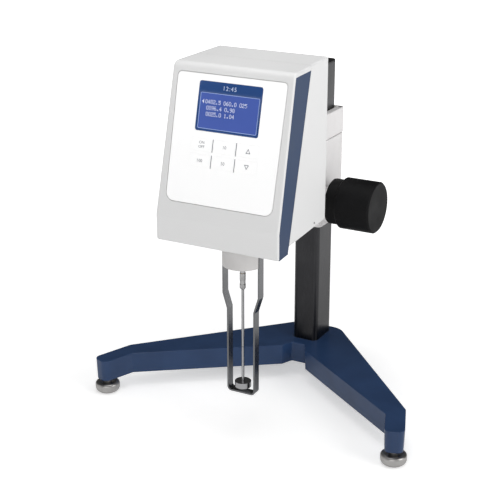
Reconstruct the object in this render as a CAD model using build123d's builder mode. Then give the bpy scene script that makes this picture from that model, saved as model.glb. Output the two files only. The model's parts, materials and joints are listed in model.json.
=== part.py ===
from build123d import *
from math import atan2, cos, pi, radians, sin, sqrt, tan
import os

# Rotational viscometer on a rack-and-pinion stand, in millimetres.
# Origin: on the bench, straight below the spindle. +Z up, -Y towards the
# operator, +X to the operator's right.

# ---- driving dimensions ---------------------------------------------------
SKIN_GAP = 0.25          # hairline between mouldings that meet
RUNNING = 0.05           # radial clearance of a running fit

# base
BASE_TOP = 43.2
BASE_BOTTOM = 17.5
BASE_DRAFT = 1.8         # degrees, the legs are widest at the top
HUB_REAR_Y = 209.0
NOTCH_BACK_Y = 143.5     # notch between the legs, in front of the column
NOTCH_BACK_HALF = 9.0
NOTCH_FRONT_HALF = 15.0
NOTCH_ROUND = 3.0
LEG_OUTER_KNEE = (180.0, 42.5)
LEG_INNER_KNEE = (163.5, 23.0)
LEG_OUTER_ANGLE = 47.3   # degrees from the X axis
LEG_INNER_ANGLE = 35.6
TOE_ANGLE = 20.5         # degrees that the toes turn outwards from straight ahead
TOE_LENGTH = 47.5        # from the knee to the toe's front edge
LEG_WALL = 6.5
POCKET_DEPTH = 17.0

# levelling feet
FOOT_X = 184.5
FOOT_Y = -1.5
REAR_FOOT_Y = 191.0
PAD_RADIUS = 14.5
PAD_HEIGHT = 12.6
STUD_RADIUS = 5.0
STUD_TOP = 32.0
STUD_BORE_TOP = 36.2

# column and rack
COLUMN_WIDTH = 32.0
COLUMN_DEPTH = 44.0
COLUMN_Y = 180.0
COLUMN_CORNER = 6.5
COLUMN_WALL = 3.5
COLUMN_SEAT = 37.2
COLUMN_TOP = 386.4
CAP_THICK = 2.5
RACK_WIDTH = 8.0
RACK_BACK = 3.4          # depth of the rack's groove in the column's front
RACK_BOTTOM = 192.0      # the carriage hides the rack's lower end at rest

# pinion
GEAR_MODULE = 1.0
PINION_TEETH = 13
PRESSURE_ANGLE = 20.0
TOOTH_SHARE = 0.42       # share of the pitch that a tooth fills, the rest is backlash
PINION_WIDTH = 7.0
PINION_Z = 229.6
SHAFT_RADIUS = 3.0
BUSH_RADIUS = 4.0

# carriage
CARRIAGE_HALF = 24.5
CARRIAGE_FRONT = 146.0
CARRIAGE_REAR = 207.0
CARRIAGE_BOTTOM = 195.8
CARRIAGE_SPLIT = 298.6
CARRIAGE_TOP = 329.5
SPLIT_GAP = 0.8
LINER_THICK = 1.2
LINER_CLEARANCE = 0.1
KNOB_BOSS_RADIUS = 15.0
KNOB_BOSS_END = 36.4

# lift knob
COLLAR_START = 37.0
COLLAR_RADIUS = 26.6
KNOB_START = 50.8
KNOB_END = 93.8
KNOB_RADIUS = 30.0

# arm between carriage and head
ARM_Z = 272.0
ARM_RADIUS = 10.0
ARM_SOCKET_RADIUS = 18.0
ARM_SOCKET_FRONT = 122.0

# head
HEAD_TOP = 416.0         # at the crest, the top rises slightly to the rear
TOP_RISE = 1.5
HEAD_CREST_Y = -19.5     # where the sloping face meets the top
CHIN_Y = -58.9
CHIN_Z = 258.9
LIP_Y = -58.6
LIP_BOTTOM = 230.1
HEAD_REAR_Y = 69.0
HOUSING_BOTTOM = 237.0
HEAD_HALF_FRONT = 72.8   # half width at the chin
HEAD_TAPER = 0.055       # half width lost for each mm towards the rear
HEAD_WALL = 3.0
PARTING_Y = -34.0        # the casings' parting line at the lip's bottom
PARTING_LEAN = 16.9      # degrees from vertical
STRIPE_THICK = 1.0
CREST_ROUND = 8.0
CHIN_ROUND = 5.0
SIDE_ROUND = 2.0

# front panel, measured down the sloping face from its crest
PANEL_TOP = 9.3
PANEL_BOTTOM = 145.2
PANEL_HALF_TOP = 64.0
PANEL_HALF_BOTTOM = 63.1
PANEL_THICK = 1.1
PANEL_RECESS = 1.5
PANEL_GAP = 0.5
WINDOW_WIDTH = 73.8
WINDOW_TOP = 16.9
WINDOW_BOTTOM = 68.3
KEY_PITCH = 27.5
KEY_ROWS = (82.6, 99.2)
KEY_WIDTH = 25.0
KEY_HEIGHT = 13.4
KEY_GAP = 0.15
KEY_STEM = 3.0
BOARD_BACK = 7.6         # how far the key board lies behind the face

# spindle boss, guard and spindle
BOSS_RADIUS = 22.6
BOSS_BORE = 17.0
BOSS_BOTTOM = 195.3
GUARD_WIDTH = 10.0
GUARD_THICK = 2.0
GUARD_HALF_TOP = 23.0
GUARD_HALF_LOW = 17.5
GUARD_TOP = 228.0
GUARD_BEND_TOP = 159.6
GUARD_BEND_LOW = 141.9
GUARD_BOTTOM = 41.5
GUARD_SCREW_Z = 220.0
COUPLING_RADIUS = 3.5
COUPLING_BOTTOM = 166.2
COUPLING_TOP = 197.0
SPINDLE_RADIUS = 1.6
DISC_RADIUS = 9.35
DISC_THICK = 6.9
DISC_Z = 51.7            # middle of the measuring disc

# measuring drive
MOTOR_SIZE = 39.2
MOTOR_HEIGHT = 33.0
PLATE_Z = 330.0
PLATE_THICK = 4.0
FLOOR_Z = 241.0          # underside of the chassis floor plate
CHASSIS_HALF = 52.0
CHASSIS_FRONT = -24.0
CHASSIS_REAR = 61.0
BRIDGE_Z = 276.0
BRIDGE_THICK = 6.0
POST_X = 30.0
POST_Y = 22.0
POST_RADIUS = 4.0
ENCODER_RADIUS = 22.0
PIVOT_RADIUS = 2.0

# ---- sizes worked out from them ------------------------------------------
BASE_THICK = BASE_TOP - BASE_BOTTOM
COLUMN_FRONT = COLUMN_Y - COLUMN_DEPTH / 2
PITCH_RADIUS = GEAR_MODULE * PINION_TEETH / 2
RACK_PITCH_Y = COLUMN_FRONT + GEAR_MODULE
PINION_Y = RACK_PITCH_Y - PITCH_RADIUS
TOOTH_PITCH = pi * GEAR_MODULE
FACE_DY = HEAD_CREST_Y - CHIN_Y
FACE_DZ = HEAD_TOP - CHIN_Z
FACE_LEAN = atan2(FACE_DY, FACE_DZ)
FACE_NORMAL = (0, -cos(FACE_LEAN), sin(FACE_LEAN))
WINDOW_MIDDLE = (WINDOW_TOP + WINDOW_BOTTOM) / 2
WINDOW_HEIGHT = WINDOW_BOTTOM - WINDOW_TOP
DISC_BOTTOM = DISC_Z - DISC_THICK / 2

os.makedirs("parts", exist_ok=True)


def write(part, name):
    """Label a finished piece and write it to its own file."""
    part.label = name
    export_step(part, f"parts/{name}.step")


def write_group(name, pieces):
    """Write several separate pieces as one node."""
    write(Compound(children=pieces), name)


def face_plane(depth=0.0):
    """Plane on the sloping face, origin at its crest, depth mm below the skin."""
    crest = Vector(0, HEAD_CREST_Y, HEAD_TOP)
    origin = crest - Vector(*FACE_NORMAL) * depth
    return Plane(origin=origin, x_dir=(1, 0, 0), z_dir=FACE_NORMAL)


def half_width(y):
    """Half width of the tapering head at the depth y."""
    return HEAD_HALF_FRONT - (y - CHIN_Y) * HEAD_TAPER


# ---- base ------------------------------------------------------------------
def mirrored(points):
    """Right-hand outline points from rear to front, closed on the left side."""
    return points + [(-x, y) for x, y in reversed(points)]


def base_outline():
    """Top outline of the V-shaped base, one list of corner points."""
    outer_x, outer_y = LEG_OUTER_KNEE
    rear_x = outer_x - (HUB_REAR_Y - outer_y) / tan(radians(LEG_OUTER_ANGLE))
    toe = (sin(radians(TOE_ANGLE)), -cos(radians(TOE_ANGLE)))
    inner_x, inner_y = LEG_INNER_KNEE
    notch_y = inner_y + (inner_x - NOTCH_FRONT_HALF) * tan(radians(LEG_INNER_ANGLE))
    middle = ((outer_x + inner_x) / 2, (outer_y + inner_y) / 2)
    front = (middle[0] + toe[0] * TOE_LENGTH, middle[1] + toe[1] * TOE_LENGTH)
    half = 0.5 * ((outer_x - inner_x) * -toe[1] + (outer_y - inner_y) * toe[0])
    across = (-toe[1], toe[0])
    toe_out = (front[0] + across[0] * half, front[1] + across[1] * half)
    toe_in = (front[0] - across[0] * half, front[1] - across[1] * half)
    return mirrored([
        (rear_x, HUB_REAR_Y),
        LEG_OUTER_KNEE,
        toe_out,
        toe_in,
        LEG_INNER_KNEE,
        (NOTCH_FRONT_HALF, notch_y),
        (NOTCH_BACK_HALF, NOTCH_BACK_Y),
    ])


def round_base(sketch, rear, knee_out, toe, knee_in):
    """Round the outline's corners, each family with its own radius."""
    corners = sketch.vertices()
    fillet(corners.filter_by_position(Axis.Y, 200, 220), radius=rear)
    fillet(sketch.vertices().filter_by_position(Axis.Y, -30, 5), radius=toe)
    outer = [v for v in sketch.vertices() if abs(v.Y - LEG_OUTER_KNEE[1]) < 2]
    fillet(outer, radius=knee_out)
    inner = [v for v in sketch.vertices() if abs(v.Y - LEG_INNER_KNEE[1]) < 2]
    fillet(inner, radius=knee_in)
    notch = [v for v in sketch.vertices() if abs(v.X) < 20 and abs(v.Y - NOTCH_BACK_Y) < 20]
    fillet(notch, radius=NOTCH_ROUND)


FOOT_SPOTS = {
    "left": (-FOOT_X, FOOT_Y),
    "right": (FOOT_X, FOOT_Y),
    "rear": (0, REAR_FOOT_Y),
}
BOLT_SPOTS = [(-9.0, 168.0), (9.0, 168.0)]
BOLT_RADIUS = 3.0
DRAFT_STEP = BASE_THICK * tan(radians(BASE_DRAFT))

with BuildPart() as base_casting:
    with BuildSketch(Plane.XY.offset(BASE_BOTTOM)) as underside:
        with BuildLine():
            Polyline(*base_outline(), close=True)
        make_face()
        round_base(underside, rear=22, knee_out=9, toe=8, knee_in=2.5)
        offset(amount=-DRAFT_STEP)
    extrude(amount=BASE_THICK, taper=-BASE_DRAFT)
    top_edges = base_casting.edges().filter_by_position(Axis.Z, BASE_TOP - 0.1, BASE_TOP + 0.1)
    fillet(top_edges, radius=0.8)
    # cored-out legs, open below, with two cross ribs in each
    with BuildSketch(Plane.XY.offset(BASE_BOTTOM)) as cores:
        with BuildLine():
            Polyline(*base_outline(), close=True)
        make_face()
        offset(amount=-LEG_WALL)
        for side in (-1, 1):
            for rib_x, rib_width in ((0.0, 76.0), (78.0, 5.0), (120.0, 5.0), (184.0, 42.0)):
                with Locations((side * rib_x, HUB_REAR_Y / 2)):
                    Rectangle(rib_width, 2 * HUB_REAR_Y, mode=Mode.SUBTRACT)
    extrude(amount=POCKET_DEPTH, mode=Mode.SUBTRACT)
    # socket that the column stands in
    with BuildSketch(Plane.XY.offset(COLUMN_SEAT)):
        with Locations((0, COLUMN_Y)):
            RectangleRounded(COLUMN_WIDTH + 0.2, COLUMN_DEPTH + 0.2, COLUMN_CORNER)
    extrude(amount=BASE_TOP, mode=Mode.SUBTRACT)
    # tapped holes for the feet and counterbored holes for the column's bolts
    with Locations(*[(x, y, BASE_BOTTOM) for x, y in FOOT_SPOTS.values()]):
        Cylinder(STUD_RADIUS + RUNNING, 2 * (STUD_BORE_TOP - BASE_BOTTOM), mode=Mode.SUBTRACT)
    with Locations(*[(x, y, BASE_BOTTOM) for x, y in BOLT_SPOTS]):
        Cylinder(BOLT_RADIUS + 0.3, 2 * BASE_THICK, mode=Mode.SUBTRACT)
        Cylinder(BOLT_RADIUS * 1.75, 14.0, mode=Mode.SUBTRACT)
write(base_casting.part, "base_casting")


# ---- levelling feet --------------------------------------------------------
def build_pad(x, y):
    """Turned steel pad with a rounded rim and a dished top round the stud."""
    rim = PAD_RADIUS - 4.4
    with BuildPart() as pad:
        with BuildSketch(Plane.XZ) as section:
            with BuildLine():
                Line((0, 0), (9.2, 0))
                Spline((9.2, 0), (PAD_RADIUS, 6.4), (rim + 1.6, PAD_HEIGHT),
                       tangents=((1, 0.3), (0, 1), (-1, 0.15)))
                Line((rim + 1.6, PAD_HEIGHT), (rim, PAD_HEIGHT - 0.4))
                Line((rim, PAD_HEIGHT - 0.4), (STUD_RADIUS + 1.6, PAD_HEIGHT - 4.4))
                Line((STUD_RADIUS + 1.6, PAD_HEIGHT - 4.4), (0, PAD_HEIGHT - 4.4))
                Line((0, PAD_HEIGHT - 4.4), (0, 0))
            make_face()
        revolve(axis=Axis.Z)
        with Locations((0, 0, PAD_HEIGHT)):
            Cylinder(STUD_RADIUS + RUNNING, 2 * (PAD_HEIGHT - 2.5), mode=Mode.SUBTRACT)
    return Pos(x, y, 0) * pad.part


def build_stud(x, y):
    """Levelling stud: plain end in the pad, thread run-out groove, chamfered top."""
    with BuildPart() as stud:
        with Locations((0, 0, 2.6)):
            Cylinder(STUD_RADIUS, STUD_TOP - 2.6, align=(Align.CENTER, Align.CENTER, Align.MIN))
        chamfer(stud.edges().filter_by(GeomType.CIRCLE), length=0.6)
        with BuildSketch(Plane.XZ):
            with Locations(*[(STUD_RADIUS + 0.1, 19.0 + 1.5 * i) for i in range(8)]):
                Polygon((0, -0.6), (0, 0.6), (-0.7, 0), align=None)
        revolve(axis=Axis.Z, mode=Mode.SUBTRACT)
    return Pos(x, y, 0) * stud.part


for spot, (foot_x, foot_y) in FOOT_SPOTS.items():
    write(build_pad(foot_x, foot_y), f"foot_pad_{spot}")
    write(build_stud(foot_x, foot_y), f"foot_stud_{spot}")

# ---- column ----------------------------------------------------------------
TUBE_TOP = COLUMN_TOP - CAP_THICK
GROOVE_HALF = RACK_WIDTH / 2 + 0.1
PLUG_HEIGHT = 22.0


def column_bore(clearance):
    """Sketch of the column's hollow, behind the wall that carries the rack."""
    width = COLUMN_WIDTH - 2 * (COLUMN_WALL + clearance)
    depth = COLUMN_DEPTH - 2 * (COLUMN_WALL + clearance) - RACK_BACK
    with BuildSketch() as hollow:
        with Locations((0, COLUMN_Y + RACK_BACK / 2)):
            RectangleRounded(width, depth, COLUMN_CORNER - COLUMN_WALL)
    return hollow.sketch


with BuildPart() as column:
    with BuildSketch(Plane.XY.offset(COLUMN_SEAT)):
        with Locations((0, COLUMN_Y)):
            RectangleRounded(COLUMN_WIDTH, COLUMN_DEPTH, COLUMN_CORNER)
        add(column_bore(0), mode=Mode.SUBTRACT)
    extrude(amount=TUBE_TOP - COLUMN_SEAT)
    # groove that the rack lies in, stopped below the carriage's lowest gear mesh
    with BuildSketch(Plane.XY.offset(RACK_BOTTOM)):
        with Locations((0, COLUMN_FRONT)):
            Rectangle(2 * GROOVE_HALF, 2 * (RACK_BACK + 0.1))
    extrude(amount=TUBE_TOP - RACK_BOTTOM, mode=Mode.SUBTRACT)
write(column.part, "column")

with BuildPart() as column_plug:
    with BuildSketch(Plane.XY.offset(COLUMN_SEAT)):
        add(column_bore(0.1))
    extrude(amount=PLUG_HEIGHT)
    with Locations(*[(x, y, COLUMN_SEAT) for x, y in BOLT_SPOTS]):
        Cylinder(BOLT_RADIUS + 0.05, 36.0, mode=Mode.SUBTRACT)

with BuildPart() as column_bolts:
    with Locations(*[(x, y, BASE_BOTTOM + 0.8) for x, y in BOLT_SPOTS]):
        Cylinder(BOLT_RADIUS * 1.6, 6.0, align=(Align.CENTER, Align.CENTER, Align.MIN))
        Cylinder(BOLT_RADIUS, 36.0, align=(Align.CENTER, Align.CENTER, Align.MIN))
    with BuildSketch(Plane.XY.offset(BASE_BOTTOM + 0.8)):
        with Locations(*BOLT_SPOTS):
            RegularPolygon(2.9, 6)
    extrude(amount=3.2, mode=Mode.SUBTRACT)
write_group("column_fixings", [column_plug.part, column_bolts.part])

with BuildPart() as column_cap:
    with BuildSketch(Plane.XY.offset(TUBE_TOP)):
        with Locations((0, COLUMN_Y)):
            RectangleRounded(COLUMN_WIDTH, COLUMN_DEPTH, COLUMN_CORNER)
    extrude(amount=CAP_THICK)
    fillet(column_cap.faces().sort_by(Axis.Z)[-1].edges(), radius=1.2)
    with BuildSketch(Plane.XY.offset(TUBE_TOP)):
        add(column_bore(0.1))
    extrude(amount=-8.0)
write(column_cap.part, "column_cap")


def rack_points():
    """Tooth outline of the rack, in Y and Z, in mesh with the pinion at rest."""
    flank = tan(radians(PRESSURE_ANGLE))
    half_tooth = TOOTH_SHARE * TOOTH_PITCH / 2
    tip = half_tooth - GEAR_MODULE * 0.8 * flank
    root = half_tooth + GEAR_MODULE * 1.15 * flank
    tip_y = RACK_PITCH_Y - GEAR_MODULE * 0.8
    root_y = RACK_PITCH_Y + GEAR_MODULE * 1.15
    count = int((TUBE_TOP - 4.0 - RACK_BOTTOM) / TOOTH_PITCH)
    first = PINION_Z - (int((PINION_Z - RACK_BOTTOM) / TOOTH_PITCH) - 0.5) * TOOTH_PITCH
    points = [(COLUMN_FRONT + RACK_BACK, first - TOOTH_PITCH / 2),
              (root_y, first - TOOTH_PITCH / 2)]
    for i in range(count):
        z = first + i * TOOTH_PITCH
        points += [(root_y, z - root), (tip_y, z - tip), (tip_y, z + tip), (root_y, z + root)]
    last = first + (count - 0.5) * TOOTH_PITCH
    return points + [(root_y, last), (COLUMN_FRONT + RACK_BACK, last)]


with BuildPart() as column_rack:
    with BuildSketch(Plane.YZ):
        with BuildLine():
            Polyline(*rack_points(), close=True)
        make_face()
    extrude(amount=RACK_WIDTH / 2, both=True)
write(column_rack.part, "column_rack")

# ---- carriage --------------------------------------------------------------
LINER_OUTER = LINER_THICK + LINER_CLEARANCE
UPPER_BOTTOM = CARRIAGE_SPLIT + SPLIT_GAP
CARRIAGE_LENGTH = CARRIAGE_REAR - CARRIAGE_FRONT
CARRIAGE_MIDDLE = (CARRIAGE_REAR + CARRIAGE_FRONT) / 2
JOIN_SPOTS = [(x, y) for x in (-20.9, 20.9) for y in (151.0, 202.0)]
JOIN_RADIUS = 1.5
HALF_TOOTH_SLOT = PITCH_RADIUS + 3.0


def column_section(clearance):
    """The column's outline grown by a clearance, as a sketch."""
    with BuildSketch() as outline:
        with Locations((0, COLUMN_Y)):
            RectangleRounded(COLUMN_WIDTH + 2 * clearance, COLUMN_DEPTH + 2 * clearance,
                             COLUMN_CORNER + clearance)
    return outline.sketch


def carriage_block(bottom, top, grow):
    """Block of the carriage between two heights, bored for the column's liner."""
    with BuildPart() as block:
        with BuildSketch(Plane.XY.offset(bottom)):
            with Locations((0, CARRIAGE_MIDDLE)):
                RectangleRounded(2 * (CARRIAGE_HALF + grow), CARRIAGE_LENGTH + 2 * grow, 4.5)
        extrude(amount=top - bottom)
        ends = block.faces().filter_by(Plane.XY).edges()
        fillet(ends, radius=0.8)
        with BuildSketch(Plane.XY.offset(bottom)):
            add(column_section(LINER_OUTER))
        extrude(amount=top - bottom, mode=Mode.SUBTRACT)
    return block.part


with BuildPart() as carriage_lower:
    add(carriage_block(CARRIAGE_BOTTOM, CARRIAGE_SPLIT, 0))
    # bearing boss for the knob's shaft, on the right
    with BuildSketch(Plane.YZ.offset(CARRIAGE_HALF - 1.0)):
        with Locations((PINION_Y, PINION_Z)):
            Circle(KNOB_BOSS_RADIUS)
    extrude(amount=KNOB_BOSS_END - CARRIAGE_HALF + 1.0)
    with BuildSketch(Plane.XY.offset(CARRIAGE_BOTTOM)):
        add(column_section(LINER_OUTER))
    extrude(amount=CARRIAGE_SPLIT - CARRIAGE_BOTTOM, mode=Mode.SUBTRACT)
    # socket for the arm, on the front
    with BuildSketch(Plane.XZ.offset(-CARRIAGE_FRONT - 1.0)):
        with Locations((0, ARM_Z)):
            Circle(ARM_SOCKET_RADIUS)
    extrude(amount=CARRIAGE_FRONT + 1.0 - ARM_SOCKET_FRONT)
    with BuildSketch(Plane.XZ.offset(-ARM_SOCKET_FRONT)):
        with Locations((0, ARM_Z)):
            Circle(ARM_RADIUS)
    extrude(amount=-33.0, mode=Mode.SUBTRACT)
    with Locations((0, ARM_SOCKET_FRONT + 11.0, ARM_Z)):
        Cylinder(3.05, 60.0, align=(Align.CENTER, Align.CENTER, Align.MIN), mode=Mode.SUBTRACT)
    with Locations((0, ARM_SOCKET_FRONT + 11.0, ARM_Z + ARM_SOCKET_RADIUS - 0.4)):
        Cylinder(5.3, 6.0, align=(Align.CENTER, Align.CENTER, Align.MIN), mode=Mode.SUBTRACT)
    # slot for the pinion, hole for its shaft and seats for its bushes
    with Locations((0, COLUMN_FRONT - LINER_OUTER - 1.0, PINION_Z)):
        Box(PINION_WIDTH + 2.0, 30.0, 2 * HALF_TOOTH_SLOT, mode=Mode.SUBTRACT)
    with BuildSketch(Plane.YZ.offset(-CARRIAGE_HALF - 5)):
        with Locations((PINION_Y, PINION_Z)):
            Circle(SHAFT_RADIUS + 0.4)
    extrude(amount=100.0, mode=Mode.SUBTRACT)
    for bush_x, bush_length in ((-CARRIAGE_HALF, 6.5), (KNOB_BOSS_END, -18.5)):
        with BuildSketch(Plane.YZ.offset(bush_x)):
            with Locations((PINION_Y, PINION_Z)):
                Circle(BUSH_RADIUS)
        extrude(amount=bush_length, mode=Mode.SUBTRACT)
    with Locations(*[(x, y, CARRIAGE_SPLIT) for x, y in JOIN_SPOTS]):
        Cylinder(JOIN_RADIUS + 0.05, 30.0, mode=Mode.SUBTRACT)
    with BuildSketch(Plane.XZ.offset(-CARRIAGE_FRONT)):
        with Locations((0, PINION_Z)):
            with GridLocations(20.0, 22.0, 2, 2):
                Circle(1.3)
    extrude(amount=-7.0, mode=Mode.SUBTRACT)
write(carriage_lower.part, "carriage_lower")

with BuildPart() as carriage_upper:
    add(carriage_block(UPPER_BOTTOM, CARRIAGE_TOP, 0.5))
    with Locations(*[(x, y, CARRIAGE_TOP) for x, y in JOIN_SPOTS]):
        CounterBoreHole(JOIN_RADIUS + 0.15, 2.9, 3.4)
write(carriage_upper.part, "carriage_upper")


def cap_screw(radius, head_radius, head_height, length, socket):
    """Hexagon socket screw with its head's top at Z=0, pointing down."""
    with BuildPart() as screw:
        Cylinder(head_radius, head_height, align=(Align.CENTER, Align.CENTER, Align.MAX))
        chamfer(screw.edges().sort_by(Axis.Z)[-1], length=0.12 * head_radius)
        Cylinder(radius, head_height + length, align=(Align.CENTER, Align.CENTER, Align.MAX))
        with BuildSketch():
            RegularPolygon(socket, 6)
        extrude(amount=-0.6 * head_height, mode=Mode.SUBTRACT)
    return screw.part


def screws_at(places, screw):
    """Copies of a screw, one at each place."""
    return [place * screw for place in places]


join_screws = screws_at([Pos(x, y, CARRIAGE_TOP - 0.3) for x, y in JOIN_SPOTS],
                        cap_screw(JOIN_RADIUS, 2.75, 3.0, 40.0, 1.5))


def liner(bottom, top):
    """Thin plastic sleeve that the carriage glides on the column with."""
    with BuildPart() as sleeve:
        with BuildSketch(Plane.XY.offset(bottom)):
            add(column_section(LINER_OUTER))
            add(column_section(LINER_CLEARANCE), mode=Mode.SUBTRACT)
        extrude(amount=top - bottom)
        with Locations((0, COLUMN_FRONT, PINION_Z)):
            Box(PINION_WIDTH + 2.0, 12.0, 2 * HALF_TOOTH_SLOT, mode=Mode.SUBTRACT)
    return sleeve.part


write_group("column_liners", [liner(CARRIAGE_BOTTOM + 0.5, CARRIAGE_SPLIT),
                              liner(UPPER_BOTTOM, CARRIAGE_TOP - 0.6)])

with BuildPart() as gear_cover:
    with BuildSketch(Plane.XZ.offset(-CARRIAGE_FRONT)):
        with Locations((0, PINION_Z)):
            RectangleRounded(27.0, 29.0, 3.0)
    extrude(amount=7.0)
    fillet(gear_cover.faces().sort_by(Axis.Y)[0].edges(), radius=1.2)
    with BuildSketch(Plane.XZ.offset(-CARRIAGE_FRONT)):
        with Locations((0, PINION_Z)):
            Rectangle(PINION_WIDTH + 2.0, 2 * HALF_TOOTH_SLOT)
    extrude(amount=4.0, mode=Mode.SUBTRACT)
    with BuildSketch(Plane.XZ.offset(-CARRIAGE_FRONT)):
        with Locations((0, PINION_Z)):
            with GridLocations(20.0, 22.0, 2, 2):
                Circle(1.4)
    extrude(amount=7.0, mode=Mode.SUBTRACT)
write(gear_cover.part, "gear_cover")

FORWARD = Rot(90, 0, 0)   # turns a screw's head towards -Y
COVER_SCREW = cap_screw(1.25, 2.3, 1.6, 12.0, 1.0)
cover_screws = screws_at([Pos(x, CARRIAGE_FRONT - 8.6, PINION_Z + z) * FORWARD
                          for x in (-10, 10) for z in (-11, 11)], COVER_SCREW)

# ---- pinion, its shaft and the lift knob -----------------------------------
ALONG_X = Plane.YZ


def disc_on_shaft(start, end, radius, bore):
    """Plain disc or tube round the pinion's axis between two X positions."""
    with BuildPart() as body:
        with BuildSketch(ALONG_X.offset(start)):
            with Locations((PINION_Y, PINION_Z)):
                Circle(radius)
                if bore:
                    Circle(bore, mode=Mode.SUBTRACT)
        extrude(amount=end - start)
    return body.part


with BuildPart() as pinion_bushes:
    add(disc_on_shaft(-CARRIAGE_HALF, -CARRIAGE_HALF + 6.5, BUSH_RADIUS, SHAFT_RADIUS + RUNNING))
    add(disc_on_shaft(KNOB_BOSS_END - 18.5, KNOB_BOSS_END, BUSH_RADIUS, SHAFT_RADIUS + RUNNING))
write(pinion_bushes.part, "pinion_bushes")

SHAFT_START = -CARRIAGE_HALF - 4.0
with BuildPart() as pinion_shaft:
    add(disc_on_shaft(SHAFT_START, KNOB_END - 12.0, SHAFT_RADIUS, 0))
    chamfer(pinion_shaft.edges().filter_by(GeomType.CIRCLE), length=0.4)
    add(disc_on_shaft(SHAFT_START + 1.5, SHAFT_START + 2.3, SHAFT_RADIUS + 1, SHAFT_RADIUS - 0.4),
        mode=Mode.SUBTRACT)
write(pinion_shaft.part, "pinion_shaft")

with BuildPart() as shaft_circlip:
    add(disc_on_shaft(SHAFT_START + 1.55, SHAFT_START + 2.25, 5.2, SHAFT_RADIUS - 0.35))
    with Locations((SHAFT_START + 2.0, PINION_Y, PINION_Z - 5.0)):
        Box(4.0, 3.0, 8.0, mode=Mode.SUBTRACT)


def involute_flank(base, tip, turn, hand):
    """Points along an involute from the base circle to the tip circle."""
    points = []
    steps = 5
    limit = sqrt((tip / base) ** 2 - 1)
    for i in range(steps + 1):
        roll = limit * i / steps
        radius = base * sqrt(1 + roll ** 2)
        angle = turn + hand * (roll - atan2(roll, 1))
        points.append((radius * cos(angle), radius * sin(angle)))
    return points


def pinion_points():
    """Outline of the pinion, a tooth pointing at the rack's gap."""
    base = PITCH_RADIUS * cos(radians(PRESSURE_ANGLE))
    tip = PITCH_RADIUS + 0.8 * GEAR_MODULE
    root = PITCH_RADIUS - 1.2 * GEAR_MODULE
    at_pitch = tan(radians(PRESSURE_ANGLE)) - radians(PRESSURE_ANGLE)
    half_tooth = TOOTH_SHARE * TOOTH_PITCH / 2 / PITCH_RADIUS + at_pitch
    points = []
    for i in range(PINION_TEETH):
        middle = 2 * pi * i / PINION_TEETH
        rising = involute_flank(base, tip, middle - half_tooth, 1)
        falling = involute_flank(base, tip, middle + half_tooth, -1)
        start = middle - half_tooth * 0.92
        end = middle + half_tooth * 0.92
        points.append((root * cos(start), root * sin(start)))
        points += rising + falling[::-1]
        points.append((root * cos(end), root * sin(end)))
    return points


with BuildPart() as pinion:
    with BuildSketch(ALONG_X.offset(-PINION_WIDTH / 2)):
        with Locations((PINION_Y, PINION_Z)):
            with BuildLine():
                Polyline(*[(PINION_Y + y, PINION_Z + z) for y, z in pinion_points()], close=True)
            make_face()
            Circle(SHAFT_RADIUS, mode=Mode.SUBTRACT)
    extrude(amount=PINION_WIDTH)
write(pinion.part, "pinion")
set_screw = screws_at([Pos(KNOB_START + 12.0, PINION_Y, PINION_Z + KNOB_RADIUS - 6.0)],
                      cap_screw(2.0, 2.0, 3.0, KNOB_RADIUS - 9.0 - SHAFT_RADIUS, 1.0))
write_group("knob_fixings", [shaft_circlip.part] + set_screw)

with BuildPart() as knob_collar:
    add(disc_on_shaft(COLLAR_START, KNOB_START, COLLAR_RADIUS, 0))
    fillet(knob_collar.edges().sort_by(Axis.X)[0], radius=1.6)
    add(disc_on_shaft(COLLAR_START, KNOB_START, SHAFT_RADIUS, 0), mode=Mode.SUBTRACT)
    add(disc_on_shaft(COLLAR_START, COLLAR_START + 8.0, 19.0, 8.0), mode=Mode.SUBTRACT)
write(knob_collar.part, "knob_collar")

with BuildPart() as lift_knob:
    add(disc_on_shaft(KNOB_START, KNOB_END, KNOB_RADIUS, 0))
    chamfer(lift_knob.edges().filter_by(GeomType.CIRCLE).sort_by(Axis.X)[0], length=2.0)
    chamfer(lift_knob.edges().filter_by(GeomType.CIRCLE).sort_by(Axis.X)[-1], length=1.6)
    add(disc_on_shaft(KNOB_START, KNOB_END - 12.0, SHAFT_RADIUS, 0), mode=Mode.SUBTRACT)
    with Locations((KNOB_START + 12.0, PINION_Y, PINION_Z)):
        Cylinder(2.0, KNOB_RADIUS + 2.0, align=(Align.CENTER, Align.CENTER, Align.MIN),
                 mode=Mode.SUBTRACT)
write(lift_knob.part, "lift_knob")

# ---- arm that carries the head ---------------------------------------------
FLANGE_RADIUS = 24.0
FLANGE_THICK = 6.0
FLANGE_BOLT_CIRCLE = 17.5
ARM_END = CARRIAGE_FRONT + 8.0
with BuildPart() as head_arm:
    with BuildSketch(Plane.XZ.offset(-HEAD_REAR_Y)):
        with Locations((0, ARM_Z)):
            Circle(FLANGE_RADIUS)
    extrude(amount=-FLANGE_THICK)
    fillet(head_arm.edges().sort_by(Axis.Y)[-1], radius=1.5)
    with BuildSketch(Plane.XZ.offset(-HEAD_REAR_Y)):
        with Locations((0, ARM_Z)):
            Circle(ARM_RADIUS)
    extrude(amount=HEAD_REAR_Y - ARM_END)
    with BuildSketch(Plane.XZ.offset(-HEAD_REAR_Y)):
        with Locations((0, ARM_Z)):
            with PolarLocations(FLANGE_BOLT_CIRCLE, 4, start_angle=45):
                Circle(2.2)
    extrude(amount=-FLANGE_THICK, mode=Mode.SUBTRACT)
    with Locations((0, ARM_SOCKET_FRONT + 11.0, ARM_Z + ARM_RADIUS)):
        Box(9.0, 9.0, 2.0, mode=Mode.SUBTRACT)
write(head_arm.part, "head_arm")

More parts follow.
